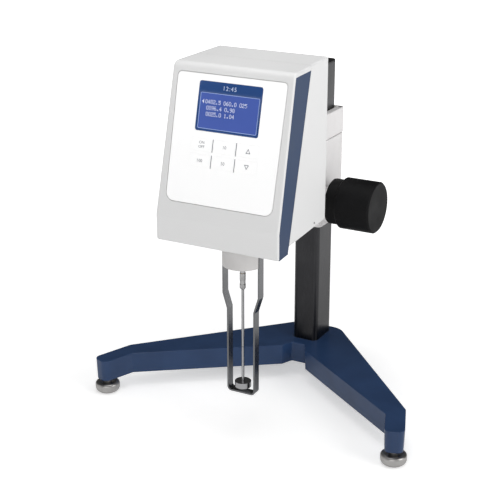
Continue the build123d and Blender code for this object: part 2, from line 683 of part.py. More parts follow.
clamp_screw = screws_at([Pos(0, ARM_SOCKET_FRONT + 11.0, ARM_Z + ARM_SOCKET_RADIUS + 5.0)],
                        cap_screw(3.0, 5.0, 5.4, ARM_SOCKET_RADIUS - ARM_RADIUS + 0.6, 2.4))
BACKWARD = Rot(-90, 0, 0)  # turns a screw's head towards +Y
flange_step = FLANGE_BOLT_CIRCLE * cos(radians(45))
flange_screws = screws_at(
    [Pos(x * flange_step, HEAD_REAR_Y + FLANGE_THICK + 4.0, ARM_Z + z * flange_step) * BACKWARD
     for x in (-1, 1) for z in (-1, 1)], cap_screw(2.0, 3.5, 4.0, 13.0, 1.6))
write_group("carriage_screws", join_screws + cover_screws + clamp_screw + flange_screws)

# ---- head casings ----------------------------------------------------------
BACK_PLATE_Y = HEAD_REAR_Y - HEAD_WALL - 0.2
BACK_PLATE_THICK = 4.0
SIDE_SCREW = (37.0, 242.2)
BELLY_SPOTS = [(x, y) for x in (-46.0, 46.0) for y in (-16.0, 52.0)]


def head_profile(bottom):
    """Corners of the head's side view above a given underside, in Y and Z."""
    return [(HEAD_CREST_Y, HEAD_TOP), (CHIN_Y, CHIN_Z), (LIP_Y, bottom),
            (HEAD_REAR_Y, bottom), (HEAD_REAR_Y, HEAD_TOP + TOP_RISE)]


def head_plan(inset, front=CHIN_Y - 5.0, rear=HEAD_REAR_Y + 5.0):
    """Corners of the head's tapering plan, in X and Y."""
    return mirrored([(half_width(front) - inset, front), (half_width(rear) - inset, rear)])


def head_solid(bottom, inset, rounded=False):
    """The head's outline above a given underside, inset from the skin."""
    radii = (CREST_ROUND, CHIN_ROUND, 2.6, 2.8, 2.3)
    with BuildPart() as solid:
        with BuildSketch(Plane.YZ) as side_view:
            with BuildLine():
                Polyline(*head_profile(bottom), close=True)
            make_face()
            if rounded:
                for (y, z), radius in zip(head_profile(bottom), radii):
                    corner = side_view.vertices().sort_by_distance((y, z, 0))[0]
                    fillet(corner, radius=radius)
            if inset:
                offset(amount=-inset, kind=Kind.INTERSECTION)
        extrude(amount=HEAD_HALF_FRONT + 5.0, both=True)
        with BuildSketch(Plane.XY):
            with BuildLine():
                Polyline(*head_plan(inset), close=True)
            make_face()
        extrude(amount=HEAD_TOP + 5.0, mode=Mode.INTERSECT)
        if rounded:
            fillet(solid.faces().sort_by(Axis.X)[0].edges(), radius=SIDE_ROUND)
            split(bisect_by=Plane.YZ, keep=Keep.BOTTOM)
            mirror(about=Plane.YZ)
    return solid.part


def parting_plane(shift):
    """Plane between the two casings, its normal to the rear, shifted along it."""
    lean = radians(PARTING_LEAN)
    normal = (0, cos(lean), -sin(lean))
    origin = Vector(0, PARTING_Y, LIP_BOTTOM) + Vector(*normal) * shift
    return Plane(origin=origin, x_dir=(1, 0, 0), z_dir=normal)


def stripe_side(side, gap):
    """Thin plate let into one side of the front casing, up to the parting line."""
    lean = tan(radians(PARTING_LEAN))
    front_inset = 2.4 + gap
    top = HEAD_TOP - 4.4 - gap
    foot = LIP_BOTTOM + gap
    face = sin(FACE_LEAN) / cos(FACE_LEAN)
    corners = [
        (CHIN_Y + (top - CHIN_Z) * face + front_inset, top),
        (CHIN_Y + front_inset, CHIN_Z),
        (LIP_Y + front_inset, foot),
        (PARTING_Y + (foot - LIP_BOTTOM) * lean, foot),
        (PARTING_Y + (top - LIP_BOTTOM) * lean, top),
    ]
    with BuildPart() as plate:
        add(head_solid(LIP_BOTTOM, 0))
        add(head_solid(LIP_BOTTOM - 20.0, STRIPE_THICK), mode=Mode.SUBTRACT)
        with BuildSketch(Plane.YZ):
            with BuildLine():
                Polyline(*corners, close=True)
            make_face()
        extrude(amount=side * (HEAD_HALF_FRONT + 5.0), mode=Mode.INTERSECT)
        split(bisect_by=parting_plane(-SKIN_GAP / 2 - gap), keep=Keep.BOTTOM)
    return plate.part


def panel_sketch(shrink):
    """Outline of the front panel on the sloping face."""
    corners = [(-PANEL_HALF_TOP, -PANEL_TOP), (PANEL_HALF_TOP, -PANEL_TOP),
               (PANEL_HALF_BOTTOM, -PANEL_BOTTOM), (-PANEL_HALF_BOTTOM, -PANEL_BOTTOM)]
    with BuildSketch() as outline:
        with BuildLine():
            Polyline(*corners, close=True)
        make_face()
        fillet(outline.vertices().group_by(Axis.Y)[-1], radius=5.0)
        fillet(outline.vertices().group_by(Axis.Y)[0], radius=9.5)
        if shrink:
            offset(amount=-shrink)
    return outline.sketch


def window_sketch(shrink):
    """Outline of the display window on the sloping face."""
    with BuildSketch() as outline:
        with Locations((0, -WINDOW_MIDDLE)):
            RectangleRounded(WINDOW_WIDTH - 2 * shrink, WINDOW_HEIGHT - 2 * shrink, 2.6 - shrink)
    return outline.sketch


KEY_SPOTS = [(column * KEY_PITCH, -row) for row in KEY_ROWS for column in (-1, 0, 1)]
BOARD_SPOTS = [(x, -y) for x in (-46.0, 46.0) for y in (76.0, 108.0)]


def keys_sketch(shrink):
    """Outlines of the six keys on the sloping face."""
    with BuildSketch() as outline:
        with Locations(*KEY_SPOTS):
            RectangleRounded(KEY_WIDTH - 2 * shrink, KEY_HEIGHT - 2 * shrink, 1.2)
    return outline.sketch


with BuildPart() as front_casing:
    add(head_solid(LIP_BOTTOM, 0, rounded=True))
    add(head_solid(HOUSING_BOTTOM, HEAD_WALL), mode=Mode.SUBTRACT)
    lip_front = LIP_Y + HEAD_WALL
    lip_rear = PARTING_Y - HEAD_WALL
    lip_top = HOUSING_BOTTOM + HEAD_WALL + 2.0
    with BuildSketch(Plane.XY.offset(LIP_BOTTOM + HEAD_WALL)):
        with BuildLine():
            Polyline(*head_plan(HEAD_WALL, lip_front, lip_rear), close=True)
        make_face()
    extrude(amount=lip_top - LIP_BOTTOM - HEAD_WALL, mode=Mode.SUBTRACT)
    # posts for the key board, inside
    with BuildSketch(face_plane(BOARD_BACK + 1.9)):
        with Locations(*BOARD_SPOTS):
            Circle(3.0)
    extrude(amount=BOARD_BACK + 1.9 - 2.0)
    with BuildSketch(face_plane(BOARD_BACK + 1.9)):
        with Locations(*BOARD_SPOTS):
            Circle(1.25)
    extrude(amount=6.5, mode=Mode.SUBTRACT)
    split(bisect_by=parting_plane(-SKIN_GAP / 2), keep=Keep.BOTTOM)
    for side in (-1, 1):
        add(stripe_side(side, 0), mode=Mode.SUBTRACT)
    # recess for the panel, openings for the display and the keys' stems
    with BuildSketch(face_plane()):
        add(panel_sketch(0))
    extrude(amount=-PANEL_RECESS, mode=Mode.SUBTRACT)
    with BuildSketch(face_plane()):
        with Locations((0, -WINDOW_MIDDLE)):
            Rectangle(WINDOW_WIDTH - 8.0, WINDOW_HEIGHT - 8.0)
        with Locations(*KEY_SPOTS):
            Circle(KEY_STEM + 0.4)
    extrude(amount=-5.0, mode=Mode.SUBTRACT)
write(front_casing.part, "front_casing")

write_group("side_stripes", [stripe_side(side, 0.12) for side in (-1, 1)])

with BuildPart() as front_panel:
    with BuildSketch(face_plane(PANEL_RECESS)):
        add(panel_sketch(PANEL_GAP))
        add(window_sketch(-0.1), mode=Mode.SUBTRACT)
        add(keys_sketch(0), mode=Mode.SUBTRACT)
    extrude(amount=PANEL_THICK)
write(front_panel.part, "front_panel")

with BuildPart() as display_window:
    with BuildSketch(face_plane(PANEL_RECESS)):
        add(window_sketch(0))
    extrude(amount=PANEL_THICK)
write(display_window.part, "display_window")

with BuildPart() as display_module:
    with BuildSketch(face_plane(HEAD_WALL + 5.4)):
        with Locations((0, -WINDOW_MIDDLE)):
            Rectangle(88.0, 58.0)
            with GridLocations(81.0, 51.0, 2, 2):
                Circle(1.6, mode=Mode.SUBTRACT)
    extrude(amount=1.6)
    with BuildSketch(face_plane(HEAD_WALL + 3.8)):
        with Locations((0, -WINDOW_MIDDLE)):
            Rectangle(76.0, 46.0)
    extrude(amount=3.6)
    with BuildSketch(face_plane(HEAD_WALL + 0.2)):
        with Locations((0, -WINDOW_MIDDLE)):
            Rectangle(WINDOW_WIDTH - 9.0, WINDOW_HEIGHT - 9.0)
    extrude(amount=1.4)
write(display_module.part, "display_module")

KEY_SKIN = 0.75
for number, (key_x, key_y) in enumerate(KEY_SPOTS, start=1):
    with BuildPart() as key:
        with BuildSketch(face_plane(PANEL_RECESS - PANEL_THICK + KEY_SKIN)):
            with Locations((key_x, key_y)):
                RectangleRounded(KEY_WIDTH - 2 * KEY_GAP, KEY_HEIGHT - 2 * KEY_GAP, 1.05)
        extrude(amount=KEY_SKIN)
        with BuildSketch(face_plane(BOARD_BACK - 1.1)):
            with Locations((key_x, key_y)):
                Circle(KEY_STEM)
        extrude(amount=BOARD_BACK - 1.1 - (PANEL_RECESS - PANEL_THICK + KEY_SKIN))
    write(key.part, f"key_{number}")

with BuildPart() as key_board:
    with BuildSketch(face_plane(BOARD_BACK + 3.5)):
        with Locations((0, -sum(KEY_ROWS) / 2)):
            Rectangle(104.0, 44.0)
        with Locations(*BOARD_SPOTS):
            Circle(1.6, mode=Mode.SUBTRACT)
    extrude(amount=1.6)
    with BuildSketch(face_plane(BOARD_BACK + 1.9)):
        with Locations(*KEY_SPOTS):
            RectangleRounded(6.2, 6.2, 0.5)
    extrude(amount=2.6)
write(key_board.part, "key_board")

INTO_FACE = face_plane(BOARD_BACK + 5.1).location * Rot(180, 0, 0)
board_screws = screws_at([INTO_FACE * Pos(x, -y, 0) for x, y in BOARD_SPOTS],
                         cap_screw(1.2, 2.2, 1.6, 5.0, 0.9))

# ---- rear casing and what is fitted to it ----------------------------------
REAR_PORTS_Z = 362.0
PORT_X = {"switch": 34.0, "power": 10.0, "data": -12.0, "probe": -35.0}
SWITCH_SIZE = (13.0, 19.5)
VENT_Z = 392.0
VENT_STEP = 7.0
DATA_SIZE = (12.6, 11.4)
POWER_RADIUS = 5.6
PROBE_RADIUS = 6.0
ON_REAR = Plane(origin=(0, HEAD_REAR_Y, 0), x_dir=(-1, 0, 0), z_dir=(0, 1, 0))


def rear_spot(name):
    """Place of a rear fitting on the rear face's own plane."""
    return (-PORT_X[name], REAR_PORTS_Z)


with BuildPart() as rear_casing:
    add(head_solid(HOUSING_BOTTOM, 0, rounded=True))
    add(head_solid(HOUSING_BOTTOM, HEAD_WALL), mode=Mode.SUBTRACT)
    split(bisect_by=parting_plane(SKIN_GAP / 2), keep=Keep.TOP)
    with Locations((0, 0, HOUSING_BOTTOM)):
        Cylinder(BOSS_RADIUS + 0.2, 20.0, mode=Mode.SUBTRACT)
    with Locations(*[(x, y, HOUSING_BOTTOM) for x, y in BELLY_SPOTS]):
        Cylinder(1.7, 12.0, mode=Mode.SUBTRACT)
        Cylinder(3.3, 3.0, mode=Mode.SUBTRACT)
    with BuildSketch(ON_REAR):
        with Locations((0, ARM_Z)):
            with PolarLocations(FLANGE_BOLT_CIRCLE, 4, start_angle=45):
                Circle(2.2)
        with Locations(rear_spot("switch")):
            Rectangle(*SWITCH_SIZE)
        with Locations(rear_spot("data")):
            Rectangle(*DATA_SIZE)
        with Locations(rear_spot("power")):
            Circle(POWER_RADIUS)
        with Locations(rear_spot("probe")):
            Circle(PROBE_RADIUS)
        with Locations((0, VENT_Z)):
            with GridLocations(VENT_STEP, VENT_STEP, 11, 1):
                SlotOverall(14.0, 2.6, rotation=90)
    extrude(amount=-6.0, mode=Mode.SUBTRACT)
    with BuildSketch(Plane.YZ.offset(-HEAD_HALF_FRONT)):
        with Locations(SIDE_SCREW):
            Circle(1.5)
    extrude(amount=2 * HEAD_HALF_FRONT, mode=Mode.SUBTRACT)
write(rear_casing.part, "rear_casing")

SIDE_WIDTH = half_width(SIDE_SCREW[0])
TO_RIGHT = Rot(0, 90, 0)   # turns a screw's head towards +X
TO_LEFT = Rot(0, -90, 0)   # turns a screw's head towards -X
SIDE_HEAD = cap_screw(1.45, 1.45, 1.0, 6.0, 0.8)
side_screws = screws_at([Pos(SIDE_WIDTH - 0.3, *SIDE_SCREW) * TO_RIGHT,
                         Pos(-SIDE_WIDTH + 0.3, *SIDE_SCREW) * TO_LEFT], SIDE_HEAD)
UPWARD = Rot(180, 0, 0)    # turns a screw's head downwards
belly_screws = screws_at([Pos(x, y, HOUSING_BOTTOM + 0.3) * UPWARD for x, y in BELLY_SPOTS],
                         cap_screw(1.6, 3.1, 1.2, 9.0, 1.2))

with BuildPart() as power_inlet:
    with BuildSketch(ON_REAR):
        with Locations(rear_spot("power")):
            Circle(POWER_RADIUS + 1.4)
            Circle(3.2, mode=Mode.SUBTRACT)
    extrude(amount=1.2)
    with BuildSketch(ON_REAR):
        with Locations(rear_spot("power")):
            Circle(POWER_RADIUS - 0.1)
            Circle(3.2, mode=Mode.SUBTRACT)
    extrude(amount=-11.0)
    with BuildSketch(ON_REAR.offset(-11.0)):
        with Locations(rear_spot("power")):
            Circle(POWER_RADIUS - 0.1)
    extrude(amount=-2.0)
    with BuildSketch(ON_REAR.offset(-11.0)):
        with Locations(rear_spot("power")):
            Circle(1.0)
    extrude(amount=10.0)
write(power_inlet.part, "power_inlet")

with BuildPart() as data_port:
    with BuildSketch(ON_REAR):
        with Locations(rear_spot("data")):
            Rectangle(DATA_SIZE[0] - 0.2, DATA_SIZE[1] - 0.2)
            Rectangle(8.6, 7.8, mode=Mode.SUBTRACT)
    extrude(amount=-14.0)
    with BuildSketch(ON_REAR.offset(-14.0)):
        with Locations(rear_spot("data")):
            Rectangle(DATA_SIZE[0] - 0.2, DATA_SIZE[1] - 0.2)
    extrude(amount=-1.6)
    with BuildSketch(ON_REAR.offset(-14.0)):
        with Locations(rear_spot("data")):
            Rectangle(5.6, 3.2)
    extrude(amount=12.0)
write(data_port.part, "data_port")

PROBE_BORE = 1.8
PROBE_DEPTH = 12.0
with BuildPart() as probe_socket:
    with BuildSketch(ON_REAR):
        with Locations(rear_spot("probe")):
            RegularPolygon(PROBE_RADIUS + 1.6, 6)
    extrude(amount=2.0)
    with BuildSketch(ON_REAR.offset(2.0)):
        with Locations(rear_spot("probe")):
            Circle(PROBE_RADIUS - 0.1)
    extrude(amount=-18.0)
    with BuildSketch(ON_REAR.offset(2.0)):
        with Locations(rear_spot("probe")):
            Circle(PROBE_BORE)
    extrude(amount=-PROBE_DEPTH, mode=Mode.SUBTRACT)
write(probe_socket.part, "probe_socket")

ROCKER_TILT = 9.0          # either way from level
ROCKER_GAP = 0.4           # all round the rocker, inside its frame
FRAME_WALL = 1.3
with BuildPart() as switch_frame:
    with BuildSketch(ON_REAR):
        with Locations(rear_spot("switch")):
            RectangleRounded(SWITCH_SIZE[0] + 2.4, SWITCH_SIZE[1] + 2.4, 1.2)
    extrude(amount=1.4)
    with BuildSketch(ON_REAR):
        with Locations(rear_spot("switch")):
            Rectangle(SWITCH_SIZE[0] - 0.2, SWITCH_SIZE[1] - 0.2)
    extrude(amount=-14.0)
    with BuildSketch(ON_REAR.offset(1.4)):
        with Locations(rear_spot("switch")):
            Rectangle(SWITCH_SIZE[0] - 2 * FRAME_WALL, SWITCH_SIZE[1] - 2 * FRAME_WALL)
    extrude(amount=-12.0, mode=Mode.SUBTRACT)
write(switch_frame.part, "switch_frame")


def rocker_profile():
    """Side view of the rocker about its pivot, in Y and Z, drawn level."""
    half = SWITCH_SIZE[1] / 2 - FRAME_WALL - ROCKER_GAP - 0.2
    rise = half * tan(radians(ROCKER_TILT))
    return [(0.4, 0), (rise + 0.6, half), (rise - 1.8, half), (-5.6, 0.8),
            (-5.6, -0.8), (rise - 1.8, -half), (rise + 0.6, -half)]


PIVOT_Y = HEAD_REAR_Y + 0.6
ROCKER_WIDTH = SWITCH_SIZE[0] - 2 * (FRAME_WALL + ROCKER_GAP)
with BuildPart() as power_rocker:
    with BuildSketch(Plane.YZ.offset(-ROCKER_WIDTH / 2)):
        with BuildLine():
            Polyline(*rocker_profile(), close=True)
        make_face()
    extrude(amount=ROCKER_WIDTH)
    fillet(power_rocker.edges().filter_by(Axis.X).sort_by(Axis.Y)[-2:], radius=0.5)
write(Pos(PORT_X["switch"], PIVOT_Y, REAR_PORTS_Z) * Rot(ROCKER_TILT, 0, 0) * power_rocker.part,
      "power_rocker")

# ---- spindle boss, guard ---------------------------------------------------
BOSS_FLANGE = 29.0
BOSS_FLANGE_THICK = 3.0
FLANGE_Z = HOUSING_BOTTOM + HEAD_WALL + 0.1
CARRIER_Z = 199.0
CARRIER_THICK = 7.0
with BuildPart() as spindle_boss:
    with BuildSketch(Plane.XY.offset(BOSS_BOTTOM)):
        Circle(BOSS_RADIUS)
    extrude(amount=FLANGE_Z - BOSS_BOTTOM)
    fillet(spindle_boss.edges().group_by(Axis.Z)[0], radius=0.8)
    with BuildSketch(Plane.XY.offset(FLANGE_Z)):
        Circle(BOSS_FLANGE)
        with PolarLocations(25.6, 4, start_angle=45):
            Circle(1.6, mode=Mode.SUBTRACT)
    extrude(amount=BOSS_FLANGE_THICK)
    with BuildSketch(Plane.XY.offset(BOSS_BOTTOM)):
        Circle(BOSS_BORE)
    extrude(amount=60.0, mode=Mode.SUBTRACT)
    # flats that the guard's legs are screwed to
    for side in (-1, 1):
        with Locations((side * (GUARD_HALF_TOP - GUARD_THICK), 0, BOSS_BOTTOM - 1.0)):
            Box(10.0, GUARD_WIDTH + 0.3, GUARD_TOP + 1.5 - BOSS_BOTTOM,
                align=(Align.MAX if side < 0 else Align.MIN, Align.CENTER, Align.MIN),
                mode=Mode.SUBTRACT)
    with BuildSketch(Plane.YZ.offset(-BOSS_RADIUS - 2)):
        with Locations((0, GUARD_SCREW_Z)):
            Circle(1.5)
    extrude(amount=2 * BOSS_RADIUS + 4, mode=Mode.SUBTRACT)
write(spindle_boss.part, "spindle_boss")


def guard_line(half_top, half_low, bottom, knee_shift, corner):
    """One side of the guard strip: a closed outline of everything inside it."""
    points = [(half_top, GUARD_TOP + 2), (half_top, GUARD_BEND_TOP + knee_shift),
              (half_low, GUARD_BEND_LOW + knee_shift), (half_low, bottom)]
    with BuildSketch() as outline:
        with BuildLine():
            Polyline(*mirrored(points), close=True)
        make_face()
        fillet(outline.vertices().group_by(Axis.Y)[0], radius=corner)
        knees = [v for v in outline.vertices()
                 if GUARD_BEND_LOW - 3 < v.Y < GUARD_BEND_TOP + 3]
        fillet(knees, radius=3.0)
    return outline.sketch


with BuildPart() as guard_leg:
    with BuildSketch(Plane.XZ.offset(-GUARD_WIDTH / 2)):
        add(guard_line(GUARD_HALF_TOP, GUARD_HALF_LOW, GUARD_BOTTOM, 0, 5.0))
        add(guard_line(GUARD_HALF_TOP - GUARD_THICK, GUARD_HALF_LOW - GUARD_THICK,
                       GUARD_BOTTOM + GUARD_THICK, 0.6, 3.0), mode=Mode.SUBTRACT)
    extrude(amount=GUARD_WIDTH)
    with Locations((0, 0, GUARD_TOP)):
        Box(80.0, 30.0, 20.0, align=(Align.CENTER, Align.CENTER, Align.MIN), mode=Mode.SUBTRACT)
    with BuildSketch(Plane.YZ.offset(-40.0)):
        with Locations((0, GUARD_SCREW_Z)):
            Circle(1.7)
    extrude(amount=80.0, mode=Mode.SUBTRACT)
    tips = guard_leg.edges().filter_by(Axis.X).group_by(Axis.Z)[-1]
    fillet(tips, radius=3.0)
write(guard_leg.part, "guard_leg")

guard_screws = screws_at([Pos(GUARD_HALF_TOP + 1.7, 0, GUARD_SCREW_Z) * TO_RIGHT,
                          Pos(-GUARD_HALF_TOP - 1.7, 0, GUARD_SCREW_Z) * TO_LEFT],
                         cap_screw(1.45, 2.7, 1.7, 5.6, 1.1))
write_group("casing_screws", side_screws + belly_screws + guard_screws)

with BuildPart() as bearing_carrier:
    with Locations((0, 0, CARRIER_Z)):
        Cylinder(BOSS_BORE - 0.02, CARRIER_THICK, align=(Align.CENTER, Align.CENTER, Align.MIN))
        Cylinder(4.6, 40.0, mode=Mode.SUBTRACT)
    with Locations((0, 0, CARRIER_Z + CARRIER_THICK)):
        Cylinder(6.0, 6.0, mode=Mode.SUBTRACT)
        with PolarLocations(11.5, 6):
            Cylinder(1.6, 6.0, mode=Mode.SUBTRACT)

with BuildPart() as jewel_bearing:
    with Locations((0, 0, CARRIER_Z + CARRIER_THICK - 3.0)):
        Cylinder(6.0, 2.6, align=(Align.CENTER, Align.CENTER, Align.MIN))
        Cylinder(PIVOT_RADIUS + RUNNING, 20.0, mode=Mode.SUBTRACT)
    chamfer(jewel_bearing.edges().filter_by(GeomType.CIRCLE).group_by(Axis.Z)[-1], length=0.4)
write_group("pivot_bearing", [bearing_carrier.part, jewel_bearing.part])

# ---- spindle, coupling and pivot -------------------------------------------
PIVOT_TOP = 300.0
PIVOT_BOTTOM = 184.0
COLLET_Z = 292.0
PIVOT_DISC_Z = 286.0
DRIVE_DISC_Z = 308.0
with BuildPart() as pivot_shaft:
    with Locations((0, 0, PIVOT_BOTTOM)):
        Cylinder(PIVOT_RADIUS, PIVOT_TOP - PIVOT_BOTTOM,
                 align=(Align.CENTER, Align.CENTER, Align.MIN))
    chamfer(pivot_shaft.edges().filter_by(GeomType.CIRCLE), length=0.4)
write(pivot_shaft.part, "pivot_shaft")

KNURLS = 20
with BuildPart() as coupling_nut:
    with BuildSketch(Plane.XZ):
        with BuildLine():
            Polyline((0, COUPLING_BOTTOM), (2.2, COUPLING_BOTTOM),
                     (COUPLING_RADIUS, COUPLING_BOTTOM + 1.6),
                     (COUPLING_RADIUS, COUPLING_BOTTOM + 6.0),
                     (COUPLING_RADIUS - 0.35, COUPLING_BOTTOM + 6.4),
                     (COUPLING_RADIUS - 0.35, COUPLING_BOTTOM + 10.6),
                     (COUPLING_RADIUS, COUPLING_BOTTOM + 11.0),
                     (COUPLING_RADIUS, COUPLING_BOTTOM + 19.0),
                     (COUPLING_RADIUS - 0.5, COUPLING_BOTTOM + 19.5),
                     (COUPLING_RADIUS - 0.5, COUPLING_TOP), (0, COUPLING_TOP), close=True)
        make_face()
    revolve(axis=Axis.Z)
    for band, height in ((COUPLING_BOTTOM + 1.9, 3.9), (COUPLING_BOTTOM + 11.3, 7.5)):
        with Locations((0, 0, band)):
            with PolarLocations(COUPLING_RADIUS + 0.12, KNURLS):
                Box(0.6, 0.45, height, align=(Align.CENTER, Align.CENTER, Align.MIN),
                    rotation=(0, 0, 45), mode=Mode.SUBTRACT)
    with Locations((0, 0, PIVOT_BOTTOM)):
        Cylinder(PIVOT_RADIUS, 40.0, align=(Align.CENTER, Align.CENTER, Align.MIN),
                 mode=Mode.SUBTRACT)
    with Locations((0, 0, COUPLING_BOTTOM)):
        Cylinder(SPINDLE_RADIUS, 20.0, mode=Mode.SUBTRACT)
write(coupling_nut.part, "coupling_nut")

with BuildPart() as spindle_rod:
    with Locations((0, 0, DISC_BOTTOM - 0.6)):
        Cylinder(SPINDLE_RADIUS, COUPLING_BOTTOM + 10.0 - DISC_BOTTOM + 0.6,
                 align=(Align.CENTER, Align.CENTER, Align.MIN))
    chamfer(spindle_rod.edges().filter_by(GeomType.CIRCLE), length=0.4)
    with BuildSketch(Plane.XZ):
        with Locations(*[(SPINDLE_RADIUS, DISC_Z + 45.0 + dz) for dz in (0.0, 1.0)]):
            Rectangle(0.4, 0.5)
    revolve(axis=Axis.Z, mode=Mode.SUBTRACT)

with BuildPart() as spindle:
    with Locations((0, 0, DISC_BOTTOM)):
        Cylinder(DISC_RADIUS, DISC_THICK, align=(Align.CENTER, Align.CENTER, Align.MIN))
    chamfer(spindle.edges(), length=0.3)
    add(spindle_rod.part)
write(spindle.part, "spindle")


def slotted_disc(z, slots):
    """Thin encoder disc on a hub, with slots round its rim."""
    with BuildPart() as disc:
        with BuildSketch(Plane.XY.offset(z)):
            Circle(ENCODER_RADIUS)
            with PolarLocations(ENCODER_RADIUS - 3.0, slots):
                Rectangle(3.0, 1.4, mode=Mode.SUBTRACT)
        extrude(amount=1.0)
        with BuildSketch(Plane.XY.offset(z - 1.5)):
            Circle(6.0)
        extrude(amount=4.0)
    return disc.part


with BuildPart() as pivot_disc:
    add(slotted_disc(PIVOT_DISC_Z, 12))
    with Locations((0, 0, COLLET_Z - 3.5)):
        Cylinder(5.0, 11.0, align=(Align.CENTER, Align.CENTER, Align.MIN))
        Cylinder(PIVOT_RADIUS, 60.0, mode=Mode.SUBTRACT)
write(pivot_disc.part, "pivot_disc")

SPRING_INNER = 5.5
SPRING_OUTER = 15.4
SPRING_TURNS = 4
SPRING_STRIP = 0.35
SPRING_Z = 296.5


def spiral(shift):
    """Points of the spring's flat spiral, shifted across the strip."""
    steps = SPRING_TURNS * 12
    points = []
    for i in range(steps + 1):
        radius = SPRING_INNER + (SPRING_OUTER - SPRING_INNER) * i / steps + shift
        angle = 2 * pi * SPRING_TURNS * i / steps
        points.append((radius * cos(angle), radius * sin(angle)))
    return points


with BuildPart() as torsion_spring:
    with BuildSketch(Plane.XY.offset(SPRING_Z)):
        with BuildLine():
            inner_edge = Spline(*spiral(-SPRING_STRIP / 2))
            outer_edge = Spline(*spiral(SPRING_STRIP / 2))
            Line(inner_edge @ 0, outer_edge @ 0)
            Line(inner_edge @ 1, outer_edge @ 1)
        make_face()
    extrude(amount=2.0)
write(torsion_spring.part, "torsion_spring")

DRIVE_RADIUS = 2.5
with BuildPart() as drive_disc:
    add(slotted_disc(DRIVE_DISC_Z, 12))
    with Locations((SPRING_OUTER + SPRING_STRIP / 2 + 1.0, 0, SPRING_Z)):
        Cylinder(1.0, DRIVE_DISC_Z - SPRING_Z, align=(Align.CENTER, Align.CENTER, Align.MIN))
    with Locations((0, 0, DRIVE_DISC_Z)):
        Cylinder(DRIVE_RADIUS, 20.0, mode=Mode.SUBTRACT)

with BuildPart() as drive_shaft:
    with Locations((0, 0, DRIVE_DISC_Z - 1.5)):
        Cylinder(DRIVE_RADIUS, PLATE_Z + PLATE_THICK + 12.0 - DRIVE_DISC_Z,
                 align=(Align.CENTER, Align.CENTER, Align.MIN))
    chamfer(drive_shaft.edges().filter_by(GeomType.CIRCLE), length=0.4)
write_group("motor_shaft", [drive_shaft.part, drive_disc.part])

# ---- chassis, motor and boards ---------------------------------------------
CHASSIS_THICK = 3.0
FLOOR_TOP = FLANGE_Z + BOSS_FLANGE_THICK + CHASSIS_THICK
POST_SPOTS = [(x, y) for x in (-POST_X, POST_X) for y in (-POST_Y, POST_Y)]
with BuildPart() as chassis:
    with BuildSketch(Plane.XY.offset(FLOOR_TOP - CHASSIS_THICK)):
        with BuildLine():
            Polyline((-CHASSIS_HALF, CHASSIS_FRONT), (CHASSIS_HALF, CHASSIS_FRONT),
                     (CHASSIS_HALF, BACK_PLATE_Y), (-CHASSIS_HALF, BACK_PLATE_Y), close=True)
        make_face()
        Circle(BOSS_BORE + 1.0, mode=Mode.SUBTRACT)
        with Locations(*BELLY_SPOTS):
            Circle(1.7, mode=Mode.SUBTRACT)
        with PolarLocations(25.6, 4, start_angle=45):
            Circle(1.6, mode=Mode.SUBTRACT)
    extrude(amount=CHASSIS_THICK)
    with BuildSketch(Plane.XZ.offset(-BACK_PLATE_Y)):
        with Locations((0, (FLOOR_TOP + PLATE_Z) / 2 - CHASSIS_THICK / 2)):
            Rectangle(2 * CHASSIS_HALF - 14.0, PLATE_Z - FLOOR_TOP + CHASSIS_THICK)
    extrude(amount=BACK_PLATE_THICK)
    with BuildSketch(Plane.XZ.offset(-BACK_PLATE_Y)):
        with Locations((0, ARM_Z)):
            with PolarLocations(FLANGE_BOLT_CIRCLE, 4, start_angle=45):
                Circle(2.0)
    extrude(amount=BACK_PLATE_THICK + 1, mode=Mode.SUBTRACT)
    # ears that reach down to the casing's floor at its four screws
    with BuildSketch(Plane.XY.offset(HOUSING_BOTTOM + HEAD_WALL + 0.1)):
        with Locations(*BELLY_SPOTS):
            Circle(5.0)
            Circle(1.6, mode=Mode.SUBTRACT)
    extrude(amount=FLOOR_TOP - CHASSIS_THICK - HOUSING_BOTTOM - HEAD_WALL - 0.1)
write(chassis.part, "chassis")

with BuildPart() as chassis_posts:
    for bottom, top in ((FLOOR_TOP, BRIDGE_Z), (BRIDGE_Z + BRIDGE_THICK, PLATE_Z)):
        with BuildSketch(Plane.XY.offset(bottom)):
            with Locations(*POST_SPOTS):
                RegularPolygon(POST_RADIUS, 6)
        extrude(amount=top - bottom)
boss_screws = screws_at([Rot(0, 0, 45 + 90 * i) * Pos(25.6, 0, FLOOR_TOP + 1.6) for i in range(4)],
                        cap_screw(1.5, 2.6, 1.6, 6.0, 1.1))


def deck(z, thick, hole, screw_holes=()):
    """Plate across the four posts, with a hole for the measuring axis."""
    with BuildPart() as plate:
        with BuildSketch(Plane.XY.offset(z)):
            with Locations((0, 3.0)):
                RectangleRounded(2 * POST_X + 12.0, 2 * POST_Y + 18.0, 5.0)
            Circle(hole, mode=Mode.SUBTRACT)
            if screw_holes:
                with Locations(*screw_holes):
                    Circle(1.6, mode=Mode.SUBTRACT)
        extrude(amount=thick)
    return plate.part


MOTOR_SPOTS = [(x, y) for x in (-15.5, 15.5) for y in (-15.5, 15.5)]
write(deck(PLATE_Z, PLATE_THICK, 11.1, MOTOR_SPOTS), "motor_plate")
write(deck(BRIDGE_Z, BRIDGE_THICK, 6.5), "bearing_bridge")

with BuildPart() as pivot_ball_bearing:
    for inner_radius, outer_radius in ((PIVOT_RADIUS + RUNNING, 3.3), (5.2, 6.5)):
        with BuildSketch(Plane.XY.offset(BRIDGE_Z + 1.0)):
            Circle(outer_radius)
            Circle(inner_radius, mode=Mode.SUBTRACT)
        extrude(amount=BRIDGE_THICK - 2.0)
    with Locations((0, 0, BRIDGE_Z + BRIDGE_THICK / 2)):
        with PolarLocations(4.25, 7):
            Sphere(0.92)
write(pivot_ball_bearing.part, "pivot_ball_bearing")

